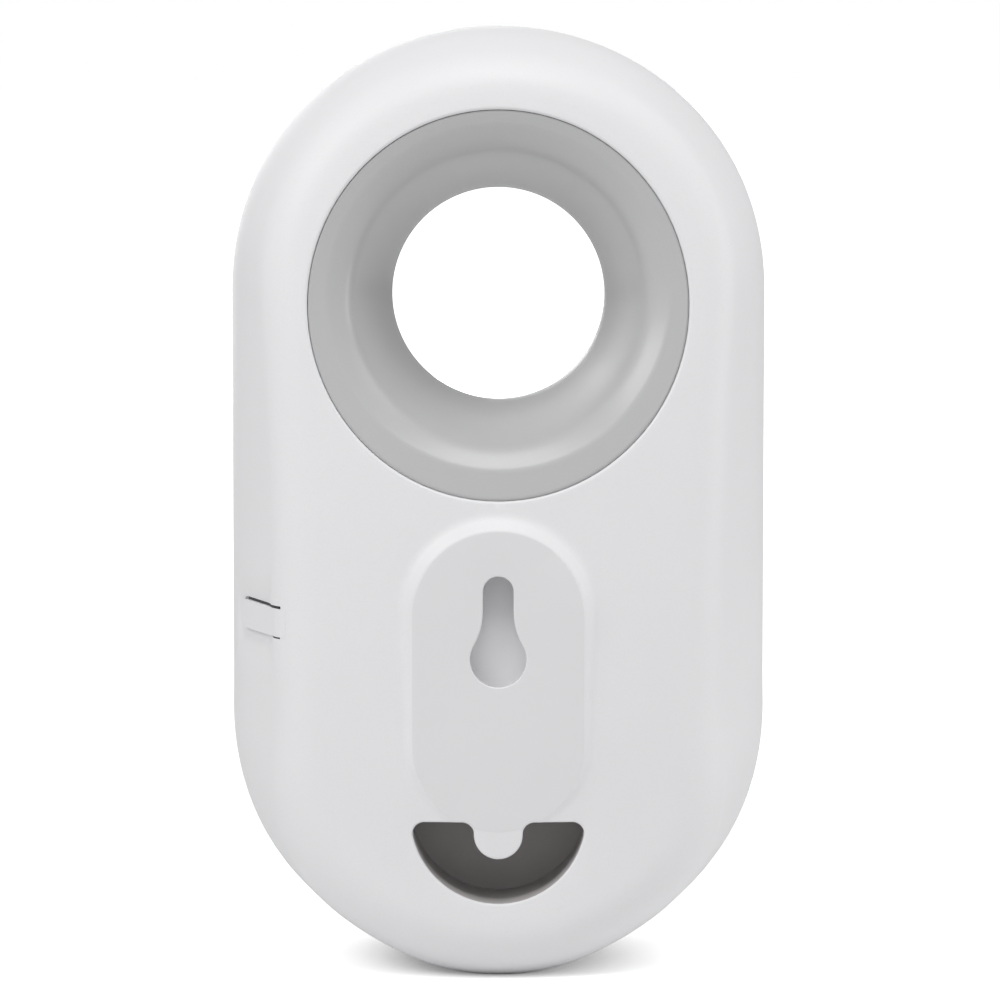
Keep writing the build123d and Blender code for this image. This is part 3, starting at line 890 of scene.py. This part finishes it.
@dataclass
class FullShells:
    """Both shells, a little fuller at the shoulders between their flanks and round ends."""

    bench: Bench
    half_width: float = 47.25
    foot: Shoulder = Shoulder(middle=47.25, push=1.65, peak=36.0, end=69.0)
    head: Shoulder = Shoulder(middle=116.75, push=0.48, peak=33.0, end=85.0)
    fade_start: float = 34.0
    fade_end: float = 44.5

    def build(self) -> None:
        """Builds both shells from merged copies of the frame's."""
        for name, node, body in (
            ("rear_shell", "rear_cover", Body.COVER),
            ("front_shell", "front_case", Body.HOUSING),
        ):
            grid = frame_shape(node)
            for vert in grid.verts:
                x, z = vert.co.x / MM, vert.co.z / MM
                if z < self.foot.middle:
                    self._fill(vert, x, z, self.foot)
                elif z >= self.head.middle:
                    self._fill(vert, x, z, self.head)
            self.bench.piece(name, grid, [Slot.SHELL], body, (node,), 30.0)

    def _fill(self, vert: bmesh.types.BMVert, x: float, z: float, end: Shoulder) -> None:
        """Pushes one point outwards from the middle of its round end.

        Args:
            vert: The point.
            x: Its place sideways, in millimetres.
            z: Its height in millimetres.
            end: The round end that it belongs to.
        """
        rise = abs(z - end.middle)
        reach = math.hypot(x, rise)
        share = (reach - self.fade_start) / (self.fade_end - self.fade_start)
        if share <= 0.0:
            return
        push = end.swell(math.degrees(math.atan2(rise, abs(x)))) * ease(min(1.0, share))
        widest = max(1.0, self.half_width / max(1.0, abs(x)))
        grow = min(1.0 + push / reach, widest)
        vert.co.x *= grow
        vert.co.z = (end.middle + (z - end.middle) * grow) * MM


@dataclass
class KeyholeRamp:
    """The moulded floor of the keyhole's pocket, which ramps up towards the round end."""

    bench: Bench
    foot_middle: float = 55.9
    top_middle: float = 67.6
    radius: float = 5.88
    floor_y: float = -17.9
    deep_y: float = -18.3
    raised_y: float = -20.2
    dish: float = 0.35
    tip_angle: float = 4.0

    def build(self) -> None:
        """Shapes a grid into the ramp and gives it its thickness."""
        grid = bmesh.new()
        bmesh.ops.create_grid(grid, x_segments=20, y_segments=48, size=1.0)
        centre = (self.foot_middle + self.top_middle) / 2.0
        reach = (self.top_middle - self.foot_middle) / 2.0 + self.radius
        for vert in grid.verts:
            side, along = vert.co.x, (vert.co.y + 1.0) / 2.0
            turned = math.radians(self.tip_angle + (180.0 - 2.0 * self.tip_angle) * along)
            z = centre - math.cos(turned) * reach
            beyond = max(0.0, self.foot_middle - z, z - self.top_middle)
            width = math.sqrt(self.radius**2 - beyond**2)
            raised = (self.raised_y - self.deep_y) * (1.0 - ease(along))
            y = self.deep_y + raised + self.dish * (1.0 - side * side)
            vert.co = point_mm(side * width, y, z)
        for vert in far_side(grid):
            vert.co.y = self.floor_y * MM
        bmesh.ops.recalc_face_normals(grid, faces=grid.faces)
        self.bench.piece("keyhole_ramp", grid, [Slot.SHELL], Body.COVER, (), 40.0)


@dataclass
class RecessShadeLining:
    """A dark sheet on the half-moon's round wall, from just under the surface inwards, painted shade on the
    white wall.
    """

    bench: Bench
    surface: RearSurface
    middle: float = 28.6
    radius: float = 15.06
    spread: float = 76.0
    sink: float = 0.5
    inner_y: float = -17.55
    thickness: float = 0.05
    steps: int = 64

    def build(self) -> None:
        """Spins an edge round the wall, lays it between surface and pocket, and thickens it."""
        grid = bmesh.new()
        start = point_mm(0.0, 0.0, -self.radius)
        depths = [Vector((0.0, share, 0.0)) for share in (0.0, 0.35, 0.7, 1.0)]
        rows = [grid.verts.new(start + depth) for depth in depths]
        edges = [grid.edges.new(pair) for pair in zip(rows, rows[1:])]
        turn = Matrix.Rotation(math.radians(-self.spread), 4, "Y")
        bmesh.ops.transform(grid, matrix=turn, verts=rows)
        bmesh.ops.spin(
            grid,
            geom=rows + edges,
            cent=(0, 0, 0),
            axis=(0, 1, 0),
            angle=math.radians(2.0 * self.spread),
            steps=self.steps,
        )
        for vert in grid.verts:
            x, z = vert.co.x / MM, vert.co.z / MM + self.middle
            outer = self.surface.y(x, z) + self.sink
            vert.co = point_mm(x, outer + (self.inner_y - outer) * vert.co.y, z)
        face_way(grid, Vector((0.0, 0.0, 1.0)))
        bmesh.ops.solidify(grid, geom=grid.faces[:], thickness=self.thickness * MM)
        # The dark frame grey is painted shade on the wall of the opening.
        self.bench.piece("recess_shade_lining", grid, [Slot.FRAME], Body.COVER, (), 50.0)


@dataclass
class SlitShadeStrips:
    """Dark strips just under the surface in the two slits beside the release tongue, painted shade that
    makes the slits look black.
    """

    bench: Bench
    flank: BVHTree
    middle: float = 61.3
    half: float = 2.45
    upper_width: float = 0.5
    lower_width: float = 0.28
    upper_run: tuple = (-15.6, -0.1)
    lower_run: tuple = (-15.6, -3.5)
    sink: float = 0.08
    depth: float = 1.3
    clearance: float = 0.03
    beside: float = 0.15

    def build(self) -> None:
        """Builds the wide upper strip and the narrow lower one."""
        top, foot = self.middle + self.half, self.middle - self.half
        upper = (top + self.clearance, top + self.upper_width)
        lower = (foot - self.lower_width, foot - self.clearance)
        self._strip("slit_shade_upper", upper, self.upper_run, upper[1] + self.beside)
        self._strip("slit_shade_lower", lower, self.lower_run, lower[0] - self.beside)

    def _strip(self, name: str, heights: tuple, run: tuple, aim: float) -> None:
        """Builds one strip that follows the flank.

        Args:
            name: The piece's name.
            heights: The strip's lower and upper edge.
            run: The Y of its two ends.
            aim: The height beside the slit at which the flank's surface is found.
        """
        grid = bmesh.new()
        bmesh.ops.create_grid(grid, x_segments=24, y_segments=2, size=1.0)
        for vert in grid.verts:
            y = run[0] + (run[1] - run[0]) * (vert.co.x + 1.0) / 2.0
            z = heights[0] + (heights[1] - heights[0]) * (vert.co.y + 1.0) / 2.0
            hit = self.flank.ray_cast(point_mm(FAR_LEFT, y, aim), Vector((1.0, 0.0, 0.0)))[0]
            vert.co = Vector((hit.x + self.sink * MM, y * MM, z * MM))
        for vert in far_side(grid):
            vert.co.x += self.depth * MM
        bmesh.ops.recalc_face_normals(grid, faces=grid.faces)
        # Black strips stand in for the shade deep inside the slits.
        self.bench.piece(name, grid, [Slot.BLACK], Body.COVER, (), 40.0)


@dataclass
class TongueRoot:
    """The skin that runs on from the cover into the release tongue, over its root."""

    bench: Bench
    flank: BVHTree
    middle: float = 61.3
    half: float = 2.42
    rows: tuple = (-17.3, -16.9, -16.4, -15.84, -15.3, -14.9)
    columns: int = 9
    root_x: float = -36.2
    start: float = -16.25
    end: float = -15.99
    proud: float = 0.012
    thickness: float = 0.02

    def build(self) -> None:
        """Lays a grid on the flank, thickens it, and leaves it on no body."""
        grid = bmesh.new()
        last = len(self.rows) - 1
        bmesh.ops.create_grid(grid, x_segments=last, y_segments=self.columns - 1, size=1.0)
        for vert in grid.verts:
            row = round((vert.co.x + 1.0) / 2.0 * last)
            spot = point_mm(FAR_LEFT, self.rows[row], self.middle + self.half * vert.co.y)
            hit, normal, _, _ = self.flank.ray_cast(spot, Vector((1.0, 0.0, 0.0)))
            vert.co = hit + normal * self.proud * MM
        face_way(grid, Vector((1.0, 0.0, 0.0)))
        bmesh.ops.solidify(grid, geom=grid.faces[:], thickness=self.thickness * MM)
        skin = self.bench.piece("tongue_root_skin", grid, [Slot.SHELL], None, sharp=60.0)
        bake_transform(skin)


@dataclass
class CellPack:
    """Four AA cells, every other one upside down."""

    bench: Bench
    count: int = 4
    radius: float = 7.25
    can_radius: float = 6.7
    length: float = 49.2
    nub: float = 1.3
    nub_radius: float = 2.6
    pitch: float = 15.2
    y: float = -7.3
    foot: float = 30.4
    band: float = 10.0
    segments: int = 72

    def _can(self) -> Shape:
        """The bare ends: dished negative plate, washer groove and stepped positive nub.

        Returns:
            The shape, standing on its negative end.
        """
        top, tip = self.length, self.length + self.nub
        profile = [
            (0.0, 0.0),
            (4.5, 0.0),
            (4.9, 0.1),
            (5.2, 0.42),
            (5.9, 0.5),
            (6.3, 0.42),
            (6.55, 0.3),
            (self.can_radius, 0.6),
            (self.can_radius, top - 0.6),
            (6.5, top - 0.18),
            (6.1, top - 0.12),
            (5.7, top - 0.5),
            (3.9, top - 0.5),
            (3.5, top - 0.35),
            (3.2, top + 0.02),
            (2.85, top + 0.12),
            (self.nub_radius, top + 0.35),
            (self.nub_radius, tip - 0.3),
            (self.nub_radius - 0.12, tip - 0.08),
            (self.nub_radius - 0.4, tip),
            (0.0, tip),
        ]
        return lathe(profile, self.segments)

    def _sleeve(self) -> Shape:
        """The shrunk sleeve, rolled over both ends, with a plain band at its top.

        Returns:
            The shape, standing on its negative end.
        """
        top = self.length
        profile = [
            (6.2, 0.32),
            (6.45, 0.08),
            (6.8, 0.02),
            (7.05, 0.14),
            (self.radius, 0.5),
            (self.radius, top - self.band),
            (self.radius, top - 0.5),
            (7.08, top - 0.16),
            (6.8, top - 0.02),
            (6.4, top - 0.06),
            (6.1, top - 0.2),
            (6.3, top - 0.32),
            (6.9, top - 0.5),
            (6.9, 0.5),
            (6.4, 0.4),
            (6.2, 0.32),
        ]
        grid = lathe(profile, self.segments)
        for face in grid.faces:
            if face.calc_center_median().z > (top - self.band) * MM:
                face.material_index = 1
        return grid

    def build(self) -> None:
        """Builds the cells in their cradles."""
        can, sleeve = self._can(), self._sleeve()
        slots = [Slot.CELL, Slot.SHIELD, Slot.SPRING]
        for index in range(self.count):
            x = (index - (self.count - 1) / 2.0) * self.pitch
            place = Matrix.Translation(point_mm(x, self.y, self.foot))
            if index % 2:
                lift = Matrix.Translation(point_mm(0.0, 0.0, self.length + self.nub))
                place = place @ lift @ Matrix.Rotation(math.pi, 4, "X")
            grid = bmesh.new()
            add_copy(grid, sleeve, place)
            add_copy(grid, can, place, 2)
            replaced = (f"battery_cell_{index + 1}",)
            self.bench.piece(f"cell_{index + 1}", grid, slots, Body.HOUSING, replaced)
        can.free()
        sleeve.free()


@dataclass
class ScrewSet:
    """Pan-head screws with a cross recess."""

    bench: Bench
    name: str
    node: str
    spots: tuple
    seat_y: float
    head_radius: float
    head_height: float
    shank_radius: float
    shank_length: float
    towards_room: bool
    thread_pitch: float = 0.9
    thread_start: float = 0.7
    core: float = 0.8
    first_turn: float = 12.0
    next_turn: float = 37.0

    def _profile(self) -> Outline:
        """The screw's outline, from the tip of its shank up its thread and over its head.

        Returns:
            Points of radius and height in millimetres.
        """
        high, wide, thick = self.head_height, self.head_radius, self.shank_radius
        tip = -self.shank_length
        profile = [(0.0, tip), (thick * 0.5, tip), (thick * 0.92, tip + 0.6)]
        threads = max(2, int((self.shank_length - 0.8) / self.thread_pitch))
        for thread in range(threads):
            low = tip + self.thread_start + self.thread_pitch * thread
            profile += [(thick * self.core, low), (thick, low + 0.35)]
        profile += [
            (thick * self.core, 0.0),
            (wide - 0.15, 0.0),
            (wide, 0.15),
            (wide, high * 0.35),
            (wide * 0.94, high * 0.62),
            (wide * 0.8, high * 0.85),
            (wide * 0.55, high * 0.97),
            (0.0, high),
        ]
        return profile

    def _screw(self) -> Shape:
        """One screw, its head up from nought and its shank below.

        Returns:
            The screw with its cross recess.
        """
        high, wide = self.head_height, self.head_radius
        screw = lathe(self._profile(), 40)
        arm = block((wide * 1.1, wide * 0.26, high * 1.2), (0.0, 0.0, 0.0), 0.04)
        for vert in arm.verts:
            vert.co.x *= 0.55 if vert.co.z < 0.0 else 1.0
        top = Matrix.Translation((0.0, 0.0, high * MM * 0.95))
        for turn in (Matrix.Identity(4), Matrix.Rotation(math.pi / 2, 4, "Z")):
            tool = bmesh.new()
            add_copy(tool, arm, top @ turn)
            cut = carved(screw, tool)
            screw.free()
            tool.free()
            screw = cut
        arm.free()
        return screw

    def build(self) -> None:
        """Drives one screw home at each spot, each turned a little differently."""
        screw = self._screw()
        grid = bmesh.new()
        for index, (x, z) in enumerate(self.spots):
            angle = math.radians(self.next_turn * index + self.first_turn)
            place = along_y(x, self.seat_y, z, self.towards_room)
            add_copy(grid, screw, place @ Matrix.Rotation(angle, 4, "Z"))
        screw.free()
        self.bench.piece(self.name, grid, [Slot.SCREW], Body.HOUSING, (self.node,), 28.0)


@dataclass
class Buttons:
    """The tamper plunger and the pairing button's cap, both turned on the lathe."""

    bench: Bench
    plunger_spot: tuple = (36.0, -1.2, 92.0)
    plunger_radius: float = 1.5
    button_spot: tuple = (-36.0, -2.2, 92.0)
    button_radius: float = 2.2

    def build(self) -> None:
        """Builds the plunger with its rounded tip and the button with its dished cap."""
        wide = self.plunger_radius
        tip = [
            (0.0, 0.0),
            (wide - 0.1, 0.0),
            (wide, 0.1),
            (wide, 3.7),
            (wide * 0.93, 4.2),
            (wide * 0.75, 4.55),
            (wide * 0.45, 4.74),
            (0.0, 4.8),
        ]
        self._turned("plunger_tip", tip, self.plunger_spot, Body.PLUNGER, "tamper_plunger")
        wide = self.button_radius
        cap = [
            (0.0, 0.0),
            (wide - 0.1, 0.0),
            (wide, 0.1),
            (wide, 1.9),
            (wide - 0.12, 2.2),
            (wide - 0.4, 2.4),
            (wide - 0.7, 2.38),
            (wide - 1.2, 2.26),
            (0.0, 2.2),
        ]
        self._turned("pairing_cap", cap, self.button_spot, Body.BUTTON, "pairing_button")

    def _turned(self, name: str, profile: Outline, spot: tuple, body: Body, node: str) -> None:
        """Places a turned shape with its top towards the wall.

        Args:
            name: The piece's name.
            profile: Its outline.
            spot: The place of its foot.
            body: The body that it rides on.
            node: The frame node that it stands for.
        """
        grid = bmesh.new()
        add_part(grid, lathe(profile, 48), along_y(*spot, forward=False))
        self.bench.piece(name, grid, [Slot.HORN], body, (node,), 40.0)


@dataclass(frozen=True)
class ChipRow:
    """A row of chip parts on the board, some of them upright."""

    count: int
    first: tuple[float, float]
    step: tuple[float, float]
    upright_every: int
    upright_from: int = 0

    def spots(self) -> list[tuple[float, float, bool]]:
        """Where the parts are, and which are upright.

        Returns:
            The X and Z of each part, and True where it is upright.
        """
        spots = []
        for index in range(self.count):
            x, z = (start + step * index for start, step in zip(self.first, self.step))
            spots.append((x, z, index % self.upright_every == self.upright_from))
        return spots


@dataclass
class BoardParts:
    """The small parts and solder joints on the circuit board's front face."""

    bench: Bench
    front: float = 5.8
    rows: tuple = (
        ChipRow(8, (-20.0, 24.6), (2.4, 0.0), 3),
        ChipRow(6, (-28.0, 54.0), (0.0, 3.0), 2),
        ChipRow(6, (8.0, 42.6), (2.6, 0.0), 2, 1),
    )
    chip_size: tuple = (1.0, 0.5, 0.85)
    end_size: tuple = (0.3, 0.56, 0.9)
    end_reach: float = 0.62
    crystal_spot: tuple = (-1.5, 36.5)
    crystal_stretch: float = 1.9
    chip_spot: tuple = (-12.0, 33.0)
    chip_side: float = 9.0
    chip_legs: int = 8
    leg_pitch: float = 0.8
    joint_spots: tuple = (
        (-3.0, 53.0),
        (3.0, 53.0),
        (-20.0, 28.0),
        (24.0, 24.0),
        (-18.0, 84.0),
        (18.0, 84.0),
    )

    def build(self) -> None:
        """Builds chip resistors, capacitors, a crystal, chip legs and solder joints."""
        self._passives()
        self._crystal()
        self._legs()
        self._joints()

    def _passives(self) -> None:
        """Rows of two-ended chip parts: dark bodies between tinned ends."""
        bodies, ends = bmesh.new(), bmesh.new()
        here = Matrix.Identity(4)
        for x, z, upright in (spot for row in self.rows for spot in row.spots()):
            size = self.chip_size[::-1] if upright else self.chip_size
            cap = self.end_size[::-1] if upright else self.end_size
            add_part(bodies, block(size, (x, self.front + 0.27, z)), here)
            for side in (-self.end_reach, self.end_reach):
                across, up = (x, z + side) if upright else (x + side, z)
                add_part(ends, block(cap, (across, self.front + 0.28, up), 0.06), here)
        self.bench.piece("chip_bodies", bodies, [Slot.BLACK], Body.HOUSING)
        self.bench.piece("chip_ends", ends, [Slot.SHIELD], Body.HOUSING)

    def _crystal(self) -> None:
        """A low oval crystal can beside the control chip."""
        profile = [(0.0, 0.0), (2.2, 0.0), (2.2, 0.3), (1.9, 0.35), (1.9, 1.5), (1.7, 1.8), (0.0, 1.85)]
        can = lathe(profile, 48)
        bmesh.ops.scale(can, vec=(self.crystal_stretch, 1.0, 1.0), verts=can.verts)
        grid = bmesh.new()
        x, z = self.crystal_spot
        add_part(grid, can, along_y(x, self.front, z))
        self.bench.piece("crystal_can", grid, [Slot.SHIELD], Body.HOUSING)

    def _legs(self) -> None:
        """Gull-wing legs on all four sides of the control chip."""
        grid = bmesh.new()
        half = self.chip_side / 2.0
        x, z = self.chip_spot
        centre = Matrix.Translation(point_mm(x, 0.0, z))
        for side in range(4):
            turn = Matrix.Rotation(math.radians(90.0 * side), 4, "Y")
            for index in range(self.chip_legs):
                along = (index - (self.chip_legs - 1) / 2.0) * self.leg_pitch
                for size, height, out in (
                    ((0.35, 0.14, 0.4), 0.6, 0.18),
                    ((0.35, 0.6, 0.14), 0.35, 0.4),
                    ((0.35, 0.14, 0.6), 0.08, 0.7),
                ):
                    part = block(size, (along, self.front + height, half + out), 0.03)
                    add_part(grid, part, centre @ turn)
        self.bench.piece("chip_legs", grid, [Slot.SHIELD], Body.HOUSING)

    def _joints(self) -> None:
        """Solder cones where the sounder's leads and the cells' tags go through."""
        profile = [(0.0, 0.0), (1.25, 0.0), (1.1, 0.12), (0.8, 0.35), (0.68, 0.75), (0.62, 1.1), (0.0, 1.15)]
        cone = lathe(profile, 32)
        grid = bmesh.new()
        for x, z in self.joint_spots:
            add_copy(grid, cone, along_y(x, self.front, z))
        cone.free()
        self.bench.piece("solder_joints", grid, [Slot.SHIELD], Body.HOUSING, (), 50.0)


@dataclass(frozen=True)
class Lamp:
    """A square soft box that faces the object's middle, in metres and watts."""

    name: str
    place: tuple
    power: float
    side: float = 0.6
    target: tuple = (0.0, 0.0, 0.08)

    def hang(self) -> None:
        """Adds the lamp to the scene."""
        data = bpy.data.lights.new(self.name, "AREA")
        data.shape = "SQUARE"
        data.size = self.side
        data.energy = self.power
        lamp = bpy.data.objects.new(self.name, data)
        lamp.location = self.place
        aim = Vector(self.target) - Vector(self.place)
        lamp.rotation_euler = aim.to_track_quat("-Z", "Y").to_euler()
        bpy.context.scene.collection.objects.link(lamp)


@dataclass
class Studio:
    """Floor, soft lights, white surround and the camera, in metres."""

    distance: float = 0.900
    height: float = 0.1685
    pitch: float = 5.4
    focal_pixels: float = 5290.0
    picture_pixels: float = 1000.0
    sensor: float = 36.0
    side: float = 0.0003
    wall_y: float = -0.0235
    world_light: float = 0.41
    world_shine: float = 0.55
    paper: Colour = (0.86, 0.86, 0.86)
    # Painted contact shadow: the floor's glow seen by the camera is least under the object and rises over
    # this span.
    painted_shadow_span: tuple = (0.004, 0.04)
    painted_shadow_glow: float = 0.50
    far_fade: tuple = (0.16, 0.55)
    far_glow: float = 0.44
    least_glow: float = 0.06
    lamps: tuple = (
        Lamp("left", (-0.90, -0.60, 0.90), 4.6),
        Lamp("right", (1.30, 0.0, 0.35), 3.2),
        Lamp("right_high", (0.90, -0.10, 1.00), 1.2),
        Lamp("top", (0.0, -0.50, 1.20), 4.9),
        Lamp("room", (-0.25, 1.40, 0.20), 3.2),
    )

    def build(self) -> None:
        """Sets up everything round the object."""
        bpy.context.scene.view_settings.view_transform = "Standard"
        self._camera()
        self._surround()
        self._floor()
        for lamp in self.lamps:
            lamp.hang()

    def _camera(self) -> None:
        """Places the camera at the photograph's viewing angle."""
        data = bpy.data.cameras.new("camera")
        data.sensor_width = self.sensor
        data.lens = self.focal_pixels * self.sensor / self.picture_pixels
        data.clip_start = 0.05
        data.clip_end = 30.0
        camera = bpy.data.objects.new("camera", data)
        camera.location = (self.side, self.wall_y - self.distance, self.height)
        camera.rotation_euler = (math.radians(90.0 - self.pitch), 0.0, 0.0)
        bpy.context.scene.collection.objects.link(camera)
        bpy.context.scene.camera = camera

    def _surround(self) -> None:
        """A soft even world that shows as plain white behind the object."""
        world = bpy.data.worlds.new("surround")
        world.use_nodes = True
        bpy.context.scene.world = world
        tree = Tree(world.node_tree)
        seen = tree.ray("Camera") | tree.ray("Transmission")
        light, shine, white = (
            tree.node("ShaderNodeBackground", {}, {"Color": opaque(WHITE), "Strength": strength})
            for strength in (self.world_light, self.world_shine, 1.0)
        )
        lit = tree.node("ShaderNodeMixShader", {}, {0: tree.ray("Glossy"), 1: light, 2: shine})
        shown = tree.node("ShaderNodeMixShader", {}, {0: seen, 1: lit, 2: white})
        tree.node("ShaderNodeOutputWorld", {}, {"Surface": shown})

    def _floor(self) -> None:
        """A pale seamless floor that keeps the object's shadow, and a painted shadow round its foot, where
        the glow that the camera sees is weakest.
        """
        mesh = bpy.data.meshes.new("floor")
        grid = bmesh.new()
        bmesh.ops.create_circle(grid, cap_ends=True, segments=96, radius=9.0)
        grid.to_mesh(mesh)
        grid.free()
        floor = bpy.data.objects.new("floor", mesh)
        bpy.context.scene.collection.objects.link(floor)
        material, tree = new_tree("floor_paper")
        away = tree.node("ShaderNodeVectorMath", {"operation": "LENGTH"}, {0: tree.place()}, "Value")
        # Painted shadow round the foot: the glow is weakest under the object and rises outwards; far away it
        # rises again so the floor shows white.
        painted_shadow = tree.fade(away, *self.painted_shadow_span) * self.painted_shadow_glow
        far = tree.fade(away, *self.far_fade) * self.far_glow
        strength = painted_shadow + far + self.least_glow
        paper = tree.node("ShaderNodeBsdfDiffuse", {}, {"Color": opaque(self.paper)})
        bare = tree.node("ShaderNodeBsdfDiffuse", {}, {"Color": opaque(WHITE)})
        glow = tree.node("ShaderNodeEmission", {}, {"Color": opaque(WHITE), "Strength": strength})
        shown = tree.node("ShaderNodeAddShader", {}, {0: bare, 1: glow})
        mixed = tree.node("ShaderNodeMixShader", {}, {0: tree.ray("Camera"), 1: paper, 2: shown})
        tree.node("ShaderNodeOutputMaterial", {}, {"Surface": mixed})
        mesh.materials.append(material)


def main() -> None:
    """Builds the dressed siren and its studio."""
    logging.basicConfig(level=logging.INFO, format="%(name)s: %(message)s")
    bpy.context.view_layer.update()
    palette = Palette()
    palette.dress_frame()
    bench = Bench(palette)
    surface = RearSurface()
    rim = HornRim(surface)
    flank = flank_tree()
    FullShells(bench).build()
    HornBell(bench, rim).build()
    HornTrim(bench, rim).build()
    KeyholeRamp(bench).build()
    RecessShadeLining(bench, surface).build()
    SlitShadeStrips(bench, flank).build()
    TongueRoot(bench, flank).build()
    CellPack(bench).build()
    ScrewSet(
        bench,
        name="case_screw_set",
        node="case_screws",
        spots=((-38.5, 82.0), (38.5, 82.0), (-27.0, 20.5), (27.0, 20.5), (-26.0, 145.0), (26.0, 145.0)),
        seat_y=0.6,
        head_radius=2.6,
        head_height=1.7,
        shank_radius=1.2,
        shank_length=9.0,
        towards_room=False,
    ).build()
    ScrewSet(
        bench,
        name="board_screw_set",
        node="board_screws",
        spots=((-29.0, 34.0), (29.0, 34.0), (-29.0, 86.0), (29.0, 86.0)),
        seat_y=5.8,
        head_radius=2.2,
        head_height=1.4,
        shank_radius=1.0,
        shank_length=3.2,
        towards_room=True,
    ).build()
    Buttons(bench).build()
    BoardParts(bench).build()
    Studio().build()


if __name__ == "__main__":
    main()
